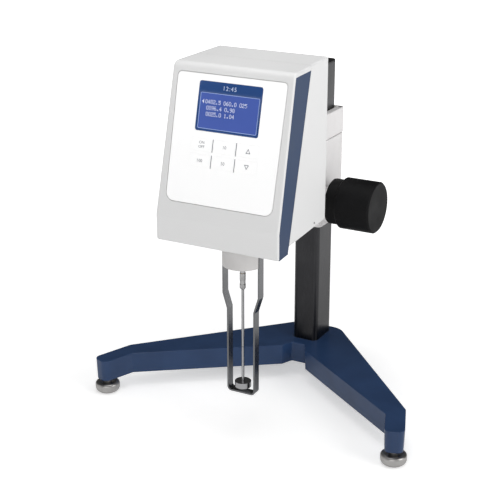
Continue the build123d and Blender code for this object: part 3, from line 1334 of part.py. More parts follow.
MOTOR_Z = PLATE_Z + PLATE_THICK
with BuildPart() as drive_motor:
    with BuildSketch(Plane.XY.offset(MOTOR_Z)):
        RectangleRounded(MOTOR_SIZE, MOTOR_SIZE, 4.0)
    extrude(amount=MOTOR_HEIGHT)
    with BuildSketch(Plane.XY.offset(MOTOR_Z + 8.0)):
        RectangleRounded(MOTOR_SIZE + 2.0, MOTOR_SIZE + 2.0, 4.0)
        RectangleRounded(MOTOR_SIZE - 1.0, MOTOR_SIZE - 1.0, 6.0, mode=Mode.SUBTRACT)
    extrude(amount=MOTOR_HEIGHT - 16.0, mode=Mode.SUBTRACT)
    with BuildSketch(Plane.XY.offset(MOTOR_Z - 2.0)):
        Circle(11.0)
    extrude(amount=2.0)
    with Locations((0, 0, MOTOR_Z - 2.0)):
        Cylinder(DRIVE_RADIUS + RUNNING, 30.0, mode=Mode.SUBTRACT)
    with Locations(*[(x, y, MOTOR_Z) for x, y in MOTOR_SPOTS]):
        Cylinder(1.5, 7.0, mode=Mode.SUBTRACT)
write(drive_motor.part, "drive_motor")

motor_screws = screws_at([Pos(x, y, PLATE_Z - 1.8) * UPWARD for x, y in MOTOR_SPOTS],
                         cap_screw(1.5, 2.6, 1.8, 7.0, 1.1))
write_group("inner_screws", board_screws + boss_screws + motor_screws)

SENSOR_Y = POST_Y + 5.0
with BuildPart() as sensor_board:
    with Locations((0, SENSOR_Y, BRIDGE_Z + BRIDGE_THICK)):
        Box(20.0, 1.6, 36.0, align=(Align.CENTER, Align.MIN, Align.MIN))
    for disc_z in (PIVOT_DISC_Z, DRIVE_DISC_Z):
        with Locations((0, SENSOR_Y, disc_z + 0.5)):
            Box(8.0, SENSOR_Y - ENCODER_RADIUS + 4.0, 7.0,
                align=(Align.CENTER, Align.MAX, Align.CENTER))
        with Locations((0, ENCODER_RADIUS + 1.0, disc_z + 0.5)):
            Box(9.0, 12.0, 2.6, align=(Align.CENTER, Align.MAX, Align.CENTER),
                mode=Mode.SUBTRACT)
write(sensor_board.part, "sensor_board")

BOARD_Y = 44.0
BOARD_HOLES = [(x, z) for x in (-40.0, 40.0) for z in (256.0, 318.0)]
with BuildPart() as main_board:
    with BuildSketch(Plane.XZ.offset(-BOARD_Y)):
        with Locations((0, 287.0)):
            Rectangle(96.0, 72.0)
        with Locations(*BOARD_HOLES):
            Circle(1.6, mode=Mode.SUBTRACT)
    extrude(amount=-1.6)
    for chip_x, chip_z, chip_w, chip_h, chip_t in (
            (-8, 300, 14, 14, 2.0), (22, 302, 10, 18, 3.0), (-30, 296, 12, 8, 2.5),
            (26, 270, 16, 12, 7.0), (-24, 270, 20, 8, 7.5), (4, 262, 8, 8, 3.0)):
        with BuildSketch(Plane.XZ.offset(-BOARD_Y)):
            with Locations((chip_x, chip_z)):
                Rectangle(chip_w, chip_h)
        extrude(amount=chip_t)
write(main_board.part, "main_board")

with BuildPart() as board_standoffs:
    with BuildSketch(Plane.XZ.offset(-BOARD_Y - 1.6)):
        with Locations(*BOARD_HOLES):
            RegularPolygon(3.0, 6)
    extrude(amount=-(BACK_PLATE_Y - BACK_PLATE_THICK - BOARD_Y - 1.6))
write_group("chassis_posts", [chassis_posts.part, board_standoffs.part])
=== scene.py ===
import json
import math

import bpy
from mathutils import Matrix, Vector


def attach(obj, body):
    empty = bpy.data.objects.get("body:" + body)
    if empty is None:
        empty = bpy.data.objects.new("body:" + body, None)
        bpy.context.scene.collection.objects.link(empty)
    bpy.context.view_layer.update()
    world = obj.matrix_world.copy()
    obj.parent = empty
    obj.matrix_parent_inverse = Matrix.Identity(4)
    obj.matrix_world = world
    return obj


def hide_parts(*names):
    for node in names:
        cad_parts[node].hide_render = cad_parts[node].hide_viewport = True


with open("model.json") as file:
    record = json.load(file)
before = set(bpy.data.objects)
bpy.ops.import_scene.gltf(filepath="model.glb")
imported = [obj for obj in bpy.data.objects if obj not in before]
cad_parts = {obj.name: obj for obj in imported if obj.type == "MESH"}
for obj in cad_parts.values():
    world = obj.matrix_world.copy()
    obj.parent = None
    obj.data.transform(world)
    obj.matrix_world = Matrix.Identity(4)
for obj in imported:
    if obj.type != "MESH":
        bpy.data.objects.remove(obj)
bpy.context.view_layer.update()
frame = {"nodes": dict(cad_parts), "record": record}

# Rotational viscometer on its stand. Metres, +Z up, -Y towards the operator.
# Sizes in millimetres are turned into metres with MM.
MM = 0.001

# The sloping face: its crest and how far it leans back.
CREST = Vector((0.0, -19.5, 416.0)) * MM
LEAN = math.atan2(39.4, 157.1)
FACE = Matrix(((1, 0, 0, CREST.x),
               (0, math.sin(LEAN), -math.cos(LEAN), CREST.y),
               (0, math.cos(LEAN), math.sin(LEAN), CREST.z),
               (0, 0, 0, 1)))


# ---- small helpers for modelling ------------------------------------------
def clear():
    """Nothing selected and nothing active."""
    if bpy.context.mode != "OBJECT":
        bpy.ops.object.mode_set(mode="OBJECT")
    bpy.ops.object.select_all(action="DESELECT")


def take(piece):
    """Select one piece only and make it active."""
    clear()
    piece.select_set(True)
    bpy.context.view_layer.objects.active = piece
    return piece


def pick_faces(piece, test):
    """In edit mode, select the faces whose centre and normal pass the test."""
    bpy.ops.object.mode_set(mode="OBJECT")
    for part in (piece.data.vertices, piece.data.edges, piece.data.polygons):
        part.foreach_set("select", [False] * len(part))
    for face in piece.data.polygons:
        face.select = bool(test(face.center, face.normal))
    bpy.ops.object.mode_set(mode="EDIT")
    bpy.ops.mesh.select_mode(type="FACE")


def pick_points(piece, test):
    """In edit mode, select the points whose place passes the test."""
    bpy.ops.object.mode_set(mode="OBJECT")
    for part in (piece.data.vertices, piece.data.edges, piece.data.polygons):
        part.foreach_set("select", [False] * len(part))
    for point in piece.data.vertices:
        point.select = bool(test(point.co))
    bpy.ops.object.mode_set(mode="EDIT")
    bpy.ops.mesh.select_mode(type="VERT")


def settle(piece, place=Matrix.Identity(4)):
    """Bring a piece modelled flat at the origin to its place, its object left at the origin."""
    take(piece)
    piece.matrix_world = place
    bpy.ops.object.transform_apply(location=True, rotation=True, scale=True)
    return piece


def soften(piece, width, segments=3, angle=35):
    """Round the sharp edges of a piece and shade it smooth between them."""
    take(piece)
    bevel = piece.modifiers.new("rounded edges", "BEVEL")
    bevel.width = width
    bevel.segments = segments
    bevel.limit_method = "ANGLE"
    bevel.angle_limit = math.radians(angle)
    bpy.ops.object.modifier_apply(modifier=bevel.name)
    bpy.ops.object.shade_smooth_by_angle(angle=math.radians(angle))


def flat_plate(name, width, height, corner, x=0.0, y=0.0, low=0.0, thick=0.0):
    """Plate with rounded corners, modelled flat: its underside at the height low."""
    clear()
    bpy.ops.mesh.primitive_plane_add(size=1, location=(x, y, low))
    plate = bpy.context.active_object
    plate.name = name
    plate.data.name = name
    plate.scale = (width, height, 1)
    bpy.ops.object.transform_apply(location=True, rotation=True, scale=True)
    bpy.ops.object.mode_set(mode="EDIT")
    bpy.ops.mesh.select_all(action="SELECT")
    if corner:
        bpy.ops.mesh.bevel(offset=corner, segments=6, affect="VERTICES")
    if thick:
        bpy.ops.mesh.select_all(action="SELECT")
        bpy.ops.mesh.extrude_region_move(TRANSFORM_OT_translate={"value": (0, 0, thick)})
        bpy.ops.mesh.select_all(action="SELECT")
        bpy.ops.mesh.normals_make_consistent(inside=False)
    bpy.ops.object.mode_set(mode="OBJECT")
    return plate


def flat_ring(name, width, height, corner, band, x, y, low, thick):
    """Flat frame of an even width round a rounded rectangle."""
    ring = flat_plate(name, width, height, corner, x, y, low)
    bpy.ops.object.mode_set(mode="EDIT")
    bpy.ops.mesh.select_all(action="SELECT")
    bpy.ops.mesh.inset(thickness=band)
    bpy.ops.mesh.delete(type="FACE")
    bpy.ops.mesh.select_all(action="SELECT")
    bpy.ops.mesh.extrude_region_move(TRANSFORM_OT_translate={"value": (0, 0, thick)})
    bpy.ops.mesh.select_all(action="SELECT")
    bpy.ops.mesh.normals_make_consistent(inside=False)
    bpy.ops.object.mode_set(mode="OBJECT")
    return ring


def finish_piece(piece, body, material):
    """Give a finished piece its material and the body it rides on."""
    piece.data.materials.clear()
    piece.data.materials.append(material)
    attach(piece, body)
    return piece


def join_pieces(name, pieces):
    """Join separate pieces into one."""
    clear()
    for piece in pieces:
        piece.select_set(True)
    bpy.context.view_layer.objects.active = pieces[0]
    if len(pieces) > 1:
        bpy.ops.object.join()
    pieces[0].name = name
    pieces[0].data.name = name
    return pieces[0]


# ---- shader node groups ---------------------------------------------------
def new_group(name, inputs, outputs):
    """Empty shader node group with named float or vector sockets."""
    group = bpy.data.node_groups.new(name, "ShaderNodeTree")
    for label, kind, value in inputs:
        socket = group.interface.new_socket(name=label, in_out="INPUT", socket_type=kind)
        if value is not None:
            socket.default_value = value
    for label, kind in outputs:
        group.interface.new_socket(name=label, in_out="OUTPUT", socket_type=kind)
    return group, group.nodes.new("NodeGroupInput"), group.nodes.new("NodeGroupOutput")


FLOAT = "NodeSocketFloat"
VECTOR = "NodeSocketVector"


def add_node(tree, kind, **settings):
    """New node with its settings; a setting that names an input sets that input."""
    node = tree.nodes.new(kind)
    for key, value in settings.items():
        if hasattr(node, key):
            setattr(node, key, value)
        else:
            node.inputs[key.replace("_", " ")].default_value = value
    return node


def build_moulded_grain():
    """Fine even texture of moulded plastic or sprayed paint."""
    group, start, end = new_group(
        "moulded grain",
        [("Position", VECTOR, None), ("Size", FLOAT, 900.0), ("Waves", FLOAT, 60.0)],
        [("Height", FLOAT), ("Tone", FLOAT)])
    link = group.links.new
    fine = add_node(group, "ShaderNodeTexNoise", Detail=4.0, Roughness=0.62)
    wide = add_node(group, "ShaderNodeTexNoise", Detail=2.0, Roughness=0.45)
    pits = add_node(group, "ShaderNodeTexVoronoi", feature="SMOOTH_F1", Smoothness=0.8)
    blend = add_node(group, "ShaderNodeMix", data_type="FLOAT", Factor=0.45)
    link(start.outputs["Position"], fine.inputs["Vector"])
    link(start.outputs["Position"], wide.inputs["Vector"])
    link(start.outputs["Position"], pits.inputs["Vector"])
    link(start.outputs["Size"], fine.inputs["Scale"])
    link(start.outputs["Size"], pits.inputs["Scale"])
    link(start.outputs["Waves"], wide.inputs["Scale"])
    link(fine.outputs["Fac"], blend.inputs["A"])
    link(pits.outputs["Distance"], blend.inputs["B"])
    link(blend.outputs["Result"], end.inputs["Height"])
    link(wide.outputs["Fac"], end.inputs["Tone"])
    return group


def build_brushed_lines():
    """Fine lines along one direction, as on brushed, ground or drawn metal."""
    group, start, end = new_group(
        "brushed lines",
        [("Position", VECTOR, None), ("Stretch", VECTOR, (400.0, 400.0, 8.0))],
        [("Height", FLOAT), ("Tone", FLOAT)])
    link = group.links.new
    stretch = add_node(group, "ShaderNodeVectorMath", operation="MULTIPLY")
    lines = add_node(group, "ShaderNodeTexNoise", Scale=3.0, Detail=5.0, Roughness=0.7)
    cloud = add_node(group, "ShaderNodeTexNoise", Scale=22.0, Detail=2.0)
    link(start.outputs["Position"], stretch.inputs[0])
    link(start.outputs["Stretch"], stretch.inputs[1])
    link(stretch.outputs["Vector"], lines.inputs["Vector"])
    link(start.outputs["Position"], cloud.inputs["Vector"])
    link(lines.outputs["Fac"], end.inputs["Height"])
    link(cloud.outputs["Fac"], end.inputs["Tone"])
    return group


def build_worn_edge():
    """Mask of a piece's outer edges, broken up, for wear and rub marks."""
    group, start, end = new_group(
        "worn edge",
        [("Position", VECTOR, None), ("Radius", FLOAT, 0.0008), ("Break", FLOAT, 260.0)],
        [("Mask", FLOAT), ("Normal", VECTOR)])
    link = group.links.new
    rounded = add_node(group, "ShaderNodeBevel", samples=6)
    shape = add_node(group, "ShaderNodeNewGeometry")
    agree = add_node(group, "ShaderNodeVectorMath", operation="DOT_PRODUCT")
    edge = add_node(group, "ShaderNodeMapRange")
    edge.inputs["From Min"].default_value = 0.995
    edge.inputs["From Max"].default_value = 0.80
    scuff = add_node(group, "ShaderNodeTexNoise", Detail=3.0, Roughness=0.6)
    cut = add_node(group, "ShaderNodeMapRange")
    cut.inputs["From Min"].default_value = 0.42
    cut.inputs["From Max"].default_value = 0.66
    both = add_node(group, "ShaderNodeMath", operation="MULTIPLY", use_clamp=True)
    link(start.outputs["Radius"], rounded.inputs["Radius"])
    link(rounded.outputs["Normal"], agree.inputs[0])
    link(shape.outputs["True Normal"], agree.inputs[1])
    link(agree.outputs["Value"], edge.inputs["Value"])
    link(start.outputs["Position"], scuff.inputs["Vector"])
    link(start.outputs["Break"], scuff.inputs["Scale"])
    link(scuff.outputs["Fac"], cut.inputs["Value"])
    link(edge.outputs["Result"], both.inputs[0])
    link(cut.outputs["Result"], both.inputs[1])
    link(both.outputs["Value"], end.inputs["Mask"])
    link(rounded.outputs["Normal"], end.inputs["Normal"])
    return group


def build_dust_and_painted_shade():
    """Mask of the sheltered corners, from ambient occlusion: painted shade where corners and
    gaps are shaded, together with the dirt and grease that gather there.
    """
    group, start, end = new_group(
        "settled dust",
        [("Position", VECTOR, None), ("Reach", FLOAT, 0.006)],
        [("Mask", FLOAT)])
    link = group.links.new
    shelter = add_node(group, "ShaderNodeAmbientOcclusion", samples=6)
    turn = add_node(group, "ShaderNodeMapRange")
    turn.inputs["From Min"].default_value = 0.85
    turn.inputs["From Max"].default_value = 0.25
    spread = add_node(group, "ShaderNodeTexNoise", Scale=90.0, Detail=3.0)
    both = add_node(group, "ShaderNodeMath", operation="MULTIPLY", use_clamp=True)
    link(start.outputs["Reach"], shelter.inputs["Distance"])
    link(shelter.outputs["AO"], turn.inputs["Value"])
    link(start.outputs["Position"], spread.inputs["Vector"])
    link(turn.outputs["Result"], both.inputs[0])
    link(spread.outputs["Fac"], both.inputs[1])
    link(both.outputs["Value"], end.inputs["Mask"])
    return group


GRAIN = build_moulded_grain()
LINES = build_brushed_lines()
EDGES = build_worn_edge()
DUST_AND_SHADE = build_dust_and_painted_shade()


# ---- materials ------------------------------------------------------------
def srgb(red, green, blue):
    """Colour given as 0 to 255 display values, in the renderer's linear values."""
    def linear(value):
        value = value / 255
        return value / 12.92 if value <= 0.04045 else ((value + 0.055) / 1.055) ** 2.4
    return (linear(red), linear(green), linear(blue), 1.0)


def new_material(name):
    """Material with a Principled shader and the object's own coordinates."""
    material = bpy.data.materials.new(name)
    material.use_nodes = True
    tree = material.node_tree
    tree.nodes.clear()
    shader = tree.nodes.new("ShaderNodeBsdfPrincipled")
    output = tree.nodes.new("ShaderNodeOutputMaterial")
    tree.links.new(shader.outputs["BSDF"], output.inputs["Surface"])
    place = tree.nodes.new("ShaderNodeTexCoord")
    return material, tree, shader, place.outputs["Object"]


def placed_group(tree, group, position, **values):
    """A node group in a material, reading the object's own coordinates."""
    node = tree.nodes.new("ShaderNodeGroup")
    node.node_tree = group
    tree.links.new(position, node.inputs["Position"])
    for key, value in values.items():
        node.inputs[key].default_value = value
    return node


def mixed(tree, mask, low, high):
    """Colour that goes from low to high with a mask."""
    mix = tree.nodes.new("ShaderNodeMix")
    mix.data_type = "RGBA"
    tree.links.new(mask, mix.inputs["Factor"])
    for socket, value in ((mix.inputs["A"], low), (mix.inputs["B"], high)):
        if isinstance(value, tuple):
            socket.default_value = value
        else:
            tree.links.new(value, socket)
    return mix.outputs["Result"]


def ranged(tree, value, low, high, start=0.3, stop=0.7):
    """A 0 to 1 value mapped to the range low to high."""
    node = tree.nodes.new("ShaderNodeMapRange")
    node.inputs["From Min"].default_value = start
    node.inputs["From Max"].default_value = stop
    node.inputs["To Min"].default_value = low
    node.inputs["To Max"].default_value = high
    tree.links.new(value, node.inputs["Value"])
    return node.outputs["Result"]


def bumped(tree, shader, height, normal, strength, distance):
    """Bump of a given depth over the rounded edges' normal."""
    bump = tree.nodes.new("ShaderNodeBump")
    bump.inputs["Strength"].default_value = strength
    bump.inputs["Distance"].default_value = distance
    tree.links.new(height, bump.inputs["Height"])
    if normal is not None:
        tree.links.new(normal, bump.inputs["Normal"])
    tree.links.new(bump.outputs["Normal"], shader.inputs["Normal"])


def coated(name, colour, worn, rough, grain=900.0, waves=60.0, depth=0.00002, tone=0.06,
           coat=0.0, shine=0.5, edge_radius=0.0007, edge_share=1.0, dust_and_shade=(120, 118, 112)):
    """Painted or moulded surface: grain, faint colour clouds, softened and rubbed edges, and
    painted shade with some dirt in its hollows.
    """
    material, tree, shader, position = new_material(name)
    grained = placed_group(tree, GRAIN, position, Size=grain, Waves=waves)
    edged = placed_group(tree, EDGES, position, Radius=edge_radius)
    dust_and_shade_mask = placed_group(tree, DUST_AND_SHADE, position)
    base = srgb(*colour)
    darker = tuple(max(0.0, c * (1 - tone)) for c in base[:3]) + (1.0,)
    lighter = tuple(min(1.0, c * (1 + tone)) for c in base[:3]) + (1.0,)
    cloud = ranged(tree, grained.outputs["Tone"], 0.0, 1.0)
    paint = mixed(tree, cloud, darker, lighter)
    rub = ranged(tree, edged.outputs["Mask"], 0.0, edge_share, 0.0, 1.0)
    paint = mixed(tree, rub, paint, srgb(*worn))
    # Sheltered corners and gaps go towards the hollow colour: painted shade, with some dirt.
    grime_and_shade = ranged(tree, dust_and_shade_mask.outputs["Mask"], 0.0, 0.35, 0.0, 1.0)
    paint = mixed(tree, grime_and_shade, paint, srgb(*dust_and_shade))
    tree.links.new(paint, shader.inputs["Base Color"])
    tree.links.new(ranged(tree, grained.outputs["Tone"], rough * 0.9, min(1.0, rough * 1.12)),
                   shader.inputs["Roughness"])
    shader.inputs["Specular IOR Level"].default_value = shine
    if coat:
        shader.inputs["Coat Weight"].default_value = coat
        shader.inputs["Coat Roughness"].default_value = 0.12
    bumped(tree, shader, grained.outputs["Height"], edged.outputs["Normal"], 1.0, depth)
    return material


def metal(name, colour, rough, stretch=(400.0, 400.0, 8.0), depth=0.00001, spread=0.35,
          edge_radius=0.0003, aniso=0.0, tarnish=0.25):
    """Bare metal: lines of its machining, cloudy polish, bright edges, and painted shade with
    some dirt in its hollows.
    """
    material, tree, shader, position = new_material(name)
    lined = placed_group(tree, LINES, position, Stretch=stretch)
    edged = placed_group(tree, EDGES, position, Radius=edge_radius)
    dust_and_shade_mask = placed_group(tree, DUST_AND_SHADE, position, Reach=0.004)
    base = srgb(*colour)
    dull = tuple(c * (1 - tarnish) for c in base[:3]) + (1.0,)
    bright = tuple(min(1.0, c * 1.15 + 0.03) for c in base[:3]) + (1.0,)
    cloud = ranged(tree, lined.outputs["Tone"], 0.0, 1.0)
    tint = mixed(tree, cloud, base, dull)
    tint = mixed(tree, edged.outputs["Mask"], tint, bright)
    # Sheltered corners and gaps go dark grey: painted shade, with some dirt.
    tint = mixed(tree, ranged(tree, dust_and_shade_mask.outputs["Mask"], 0.0, 0.5, 0.0, 1.0), tint,
                 srgb(52, 50, 47))
    tree.links.new(tint, shader.inputs["Base Color"])
    shader.inputs["Metallic"].default_value = 1.0
    if aniso:
        shader.inputs["Anisotropic"].default_value = aniso
    tree.links.new(ranged(tree, lined.outputs["Height"], rough * (1 - spread),
                          rough * (1 + spread)), shader.inputs["Roughness"])
    bumped(tree, shader, lined.outputs["Height"], edged.outputs["Normal"], 1.0, depth)
    return material


FINISH = {
    "casting_paint": coated("casting paint", (40, 62, 97), (70, 90, 124), 0.24,
                            grain=420.0, waves=28.0, depth=0.00003, tone=0.10, coat=0.12,
                            shine=0.28, edge_radius=0.0010, edge_share=0.5),
    "foot_steel": metal("foot steel", (196, 194, 192), 0.38, (60.0, 60.0, 900.0), 0.000012),
    "column_steel": metal("column steel", (65, 65, 67), 0.30, (500.0, 500.0, 6.0), 0.000008,
                          0.25, 0.0006),
    "gear_steel": metal("gear steel", (128, 128, 130), 0.38, (200.0, 200.0, 200.0), 0.00002),
    "carriage_paint": coated("carriage paint", (217, 215, 215), (228, 226, 224), 0.42,
                             grain=700.0, tone=0.03, edge_radius=0.0009),
    "screw_steel": metal("screw steel", (140, 140, 142), 0.30, (300.0, 300.0, 300.0)),
    "liner_plastic": coated("liner plastic", (226, 224, 216), (235, 233, 228), 0.45),
    "knob_plastic": coated("knob plastic", (21, 21, 22), (46, 46, 48), 0.52, grain=1300.0,
                           waves=45.0, depth=0.00003, tone=0.12, shine=0.07,
                           edge_radius=0.0009, edge_share=0.45),
    "arm_steel": metal("arm steel", (176, 176, 178), 0.22, (300.0, 12.0, 300.0)),
    # Its grey hollow colour paints a shade line along the recess round the panel.
    "casing_plastic": coated("casing plastic", (213, 213, 213), (226, 226, 225), 0.46,
                             grain=1500.0, waves=9.0, depth=0.000012, tone=0.012,
                             edge_radius=0.0012),
    "stripe_plastic": coated("stripe plastic", (54, 69, 96), (84, 98, 124), 0.42,
                             grain=1500.0, waves=30.0, depth=0.00001, tone=0.05, shine=0.05,
                             edge_radius=0.0004, edge_share=0.4),
    # Its dark hollow colour is a painted shadow line along the panel's edges and the gaps round
    # it.
    "panel_plastic": coated("panel plastic", (253, 253, 253), (253, 253, 253), 0.34,
                            grain=2200.0, waves=14.0, depth=0.000006, tone=0.008,
                            edge_radius=0.0004, dust_and_shade=(96, 96, 98)),
    "window_plastic": coated("window plastic", (38, 70, 124), (70, 98, 150), 0.18,
                             grain=2500.0, waves=20.0, depth=0.000003, tone=0.04, coat=0.6,
                             edge_radius=0.0004),
    "display_glass": coated("display glass", (70, 92, 168), (90, 110, 180), 0.22,
                            grain=2500.0, waves=20.0, depth=0.000002, tone=0.05),
    "key_plastic": coated("key plastic", (253, 253, 253), (253, 253, 253), 0.34,
                          grain=2200.0, waves=14.0, depth=0.000006, tone=0.008,
                          edge_radius=0.0002, dust_and_shade=(250, 250, 250)),
    "circuit_board": coated("circuit board", (28, 92, 52), (60, 120, 80), 0.35, grain=300.0),
    "chassis_metal": metal("chassis sheet", (196, 198, 200), 0.34, (300.0, 8.0, 300.0)),
    "black_plastic": coated("black plastic", (22, 22, 23), (48, 48, 50), 0.44, grain=1300.0,
                            depth=0.00002, tone=0.10, shine=0.3, edge_share=0.5),
    "socket_metal": metal("socket metal", (182, 182, 184), 0.26, (200.0, 200.0, 200.0)),
    "boss_paint": coated("boss paint", (190, 188, 187), (208, 206, 204), 0.45, grain=800.0,
                         tone=0.03, edge_radius=0.0006),
    "guard_steel": metal("guard steel", (128, 129, 131), 0.24, (500.0, 500.0, 10.0),
                         0.000006),
    "bearing_brass": metal("bearing brass", (202, 166, 96), 0.30, (200.0, 200.0, 600.0)),
    "bearing_steel": metal("bearing steel", (160, 160, 162), 0.22, (200.0, 200.0, 600.0)),
    "shaft_steel": metal("shaft steel", (170, 170, 172), 0.24, (60.0, 60.0, 700.0)),
    "coupling_steel": metal("coupling steel", (190, 190, 190), 0.18, (90.0, 90.0, 900.0)),
    "spindle_steel": metal("spindle steel", (180, 180, 182), 0.20, (90.0, 90.0, 900.0)),
    "spring_bronze": metal("spring bronze", (190, 140, 88), 0.30, (90.0, 90.0, 300.0)),
    "motor_metal": metal("motor metal", (140, 142, 144), 0.36, (200.0, 200.0, 60.0)),
}

BEZEL_INK = FINISH["window_plastic"]
LIT_FIELD = FINISH["display_glass"]
BORDER_DOTS = coated("border dots", (158, 182, 232), (170, 190, 235), 0.3, tone=0.02)
LIT_DOTS = coated("lit dots", (236, 242, 255), (240, 245, 255), 0.3, tone=0.02)
HEADER_INK = coated("header ink", (190, 204, 232), (200, 212, 236), 0.3, tone=0.02)
KEY_INK = coated("key ink", (86, 90, 102), (104, 108, 120), 0.5, tone=0.05)
ROCKER_INK = coated("rocker ink", (206, 206, 204), (216, 216, 214), 0.5, tone=0.04)

slot_of = {entry["node"]: entry["material_slot"] for entry in frame["record"]["subparts"]}
for node, solid in frame["nodes"].items():
    finish = FINISH[slot_of[node]]
    solid.data.materials.clear()
    solid.data.materials.append(finish)

# ---- display ---------------------------------------------------------------
# On the sloping face, X runs across, Y up the slope from its crest and Z outwards.
SKIN = -0.4 * MM                 # outer face of the panel and the keys
WINDOW_WIDTH = 73.8 * MM
WINDOW_HEIGHT = 51.4 * MM
WINDOW_Y = -42.6 * MM
WINDOW_THICK = 1.1 * MM
WINDOW_CORNER = 2.6 * MM
FIELD_MARGIN = 2.05 * MM         # printed frame at the sides and below the field
HEADER = 9.25 * MM               # and the wider band above it
FIELD_SUNK = 0.35 * MM
FIELD_THICK = 0.08 * MM
FIELD_GAP = 0.15 * MM            # between the lit field and its frame
BORDER_GAP = 0.45 * MM           # between the border and the frame
BORDER_WIDTH = 0.55 * MM
PRINT_THICK = 0.02 * MM          # every printed mark
HEADER_TALL = 4.4 * MM
HEADER_X = -1.2 * MM
HEADER_Y = -22.9 * MM
FIELD_WIDTH = WINDOW_WIDTH - 2 * FIELD_MARGIN
FIELD_HEIGHT = WINDOW_HEIGHT - 2 * FIELD_MARGIN - HEADER
FIELD_Y = WINDOW_Y - HEADER / 2


def shape_bezel():
    """Printed window with a wide header band and a sunk field for the display."""
    bezel = flat_plate("display_bezel", WINDOW_WIDTH, WINDOW_HEIGHT, WINDOW_CORNER, 0,
                       WINDOW_Y, SKIN - WINDOW_THICK, WINDOW_THICK)
    face_high = SKIN - 0.05 * MM
    pick_faces(bezel, lambda centre, normal: centre.z > face_high and normal.z > 0.9)
    bpy.ops.mesh.inset(thickness=FIELD_MARGIN)
    side = WINDOW_WIDTH / 2 - 0.9 * FIELD_MARGIN
    crest = WINDOW_Y + WINDOW_HEIGHT / 2 - 0.9 * FIELD_MARGIN
    pick_points(bezel, lambda place: place.z > face_high and abs(place.x) < side
                and WINDOW_Y < place.y < crest)
    bpy.ops.transform.translate(value=(0, -HEADER, 0))
    pick_faces(bezel, lambda centre, normal: centre.z > face_high and abs(centre.x) < 5 * MM
               and abs(centre.y - FIELD_Y) < 6 * MM)
    bpy.ops.mesh.extrude_region_move(TRANSFORM_OT_translate={"value": (0, 0, -FIELD_SUNK)})
    bpy.ops.object.mode_set(mode="OBJECT")
    soften(bezel, 0.14 * MM, 2)
    return settle(bezel, FACE)


DOT_WIDE = 0.51 * MM             # pitch of the display's dots, across and up
DOT_HIGH = 0.60 * MM
DOT_SHARE = 0.90                 # of the pitch that a lit dot fills
SIGN_PITCH = 6 * DOT_WIDE        # five dots and a gap
DOT_SIGNS = {
    "0": ("01110", "10001", "10001", "10001", "10001", "10001", "01110"),
    "1": ("00100", "01100", "00100", "00100", "00100", "00100", "01110"),
    "2": ("01110", "10001", "00001", "00110", "01000", "10000", "11111"),
    "4": ("00010", "00110", "01010", "10010", "11111", "00010", "00010"),
    "5": ("11111", "10000", "11110", "00001", "00001", "10001", "01110"),
    "6": ("00110", "01000", "10000", "11110", "10001", "10001", "01110"),
    "8": ("01110", "10001", "10001", "01110", "10001", "10001", "01110"),
    "9": ("01110", "10001", "10001", "01111", "00001", "00010", "01100"),
    ".": ("00000", "00000", "00000", "00000", "00000", "01100", "01100"),
    "<": ("00010", "00110", "01110", "11110", "01110", "00110", "00010"),
}


def copy_of(piece, x, y):
    """Copy of a flat piece with a mesh of its own, moved across the face."""
    twin = piece.copy()
    twin.data = piece.data.copy()
    twin.location = (x, y, 0)
    bpy.context.collection.objects.link(twin)
    return twin


def shape_sign(sign, low):
    """One sign of the display, made of square dots, its middle at the origin."""
    dot = flat_plate("dot", DOT_SHARE * DOT_WIDE, DOT_SHARE * DOT_HIGH, 0, 0, 0, low,
                     PRINT_THICK)
    dots = []
    for row, line in enumerate(DOT_SIGNS[sign]):
        for column, lit in enumerate(line):
            if lit == "1":
                dots.append(copy_of(dot, (column - 2) * DOT_WIDE, (3 - row) * DOT_HIGH))
    bpy.data.objects.remove(dot)
    joined = join_pieces("sign", dots)
    take(joined)
    bpy.ops.object.transform_apply(location=True, rotation=True, scale=True)
    return joined


def shape_line(name, words, left, y, low, signs):
    """A line of signs, the first one's middle at left."""
    placed = []
    for number, sign in enumerate(words):
        if sign != " ":
            if sign not in signs:
                signs[sign] = shape_sign(sign, low)
            placed.append(copy_of(signs[sign], left + number * SIGN_PITCH, y))
    line = join_pieces(name, placed)
    take(line)
    bpy.ops.object.transform_apply(location=True, rotation=True, scale=True)
    return settle(line, FACE)


TYPE_SIZE = 1.42                 # of a letter's height
ARROW_LINE = 0.62 * MM


def printed_words(name, words, height, x, y, low, spacing=1.0):
    """Raised print of a few letters or numbers, its middle at X and Y."""
    clear()
    bpy.ops.object.text_add(location=(0, 0, 0))
    print_piece = bpy.context.active_object
    print_piece.name = name
    print_piece.data.body = words
    print_piece.data.align_x = "CENTER"
    print_piece.data.align_y = "CENTER"
    print_piece.data.size = height * TYPE_SIZE
    print_piece.data.space_character = spacing
    print_piece.data.resolution_u = 3
    print_piece.data.extrude = PRINT_THICK / 2
    bpy.ops.object.convert(target="MESH")
    print_piece = bpy.context.active_object
    print_piece.data.name = name
    print_piece.location = (x, y, low + PRINT_THICK / 2)
    bpy.ops.object.transform_apply(location=True, rotation=True, scale=True)
    return print_piece


def shape_arrow(name, width, height, x, y, low, turn):
    """Outline of a triangle, its point up the slope, or down it with a turn of pi."""
    clear()
    bpy.ops.mesh.primitive_circle_add(vertices=3, radius=1.0, fill_type="NGON",
                                      location=(0, 0, 0))
    arrow = bpy.context.active_object
    arrow.name = name
    arrow.data.name = name
    arrow.scale = (width / math.sqrt(3), height / 1.5, 1)
    bpy.ops.object.transform_apply(location=True, rotation=True, scale=True)
    bpy.ops.object.mode_set(mode="EDIT")
    bpy.ops.mesh.select_all(action="SELECT")
    bpy.ops.mesh.inset(thickness=ARROW_LINE)
    bpy.ops.mesh.delete(type="FACE")
    bpy.ops.mesh.select_all(action="SELECT")
    bpy.ops.mesh.extrude_region_move(TRANSFORM_OT_translate={"value": (0, 0, PRINT_THICK)})
    bpy.ops.mesh.select_all(action="SELECT")
    bpy.ops.mesh.normals_make_consistent(inside=False)
    bpy.ops.object.mode_set(mode="OBJECT")
    arrow.rotation_euler = (0, 0, turn)
    arrow.location = (x, y, low)
    bpy.ops.object.transform_apply(location=True, rotation=True, scale=True)
    return arrow


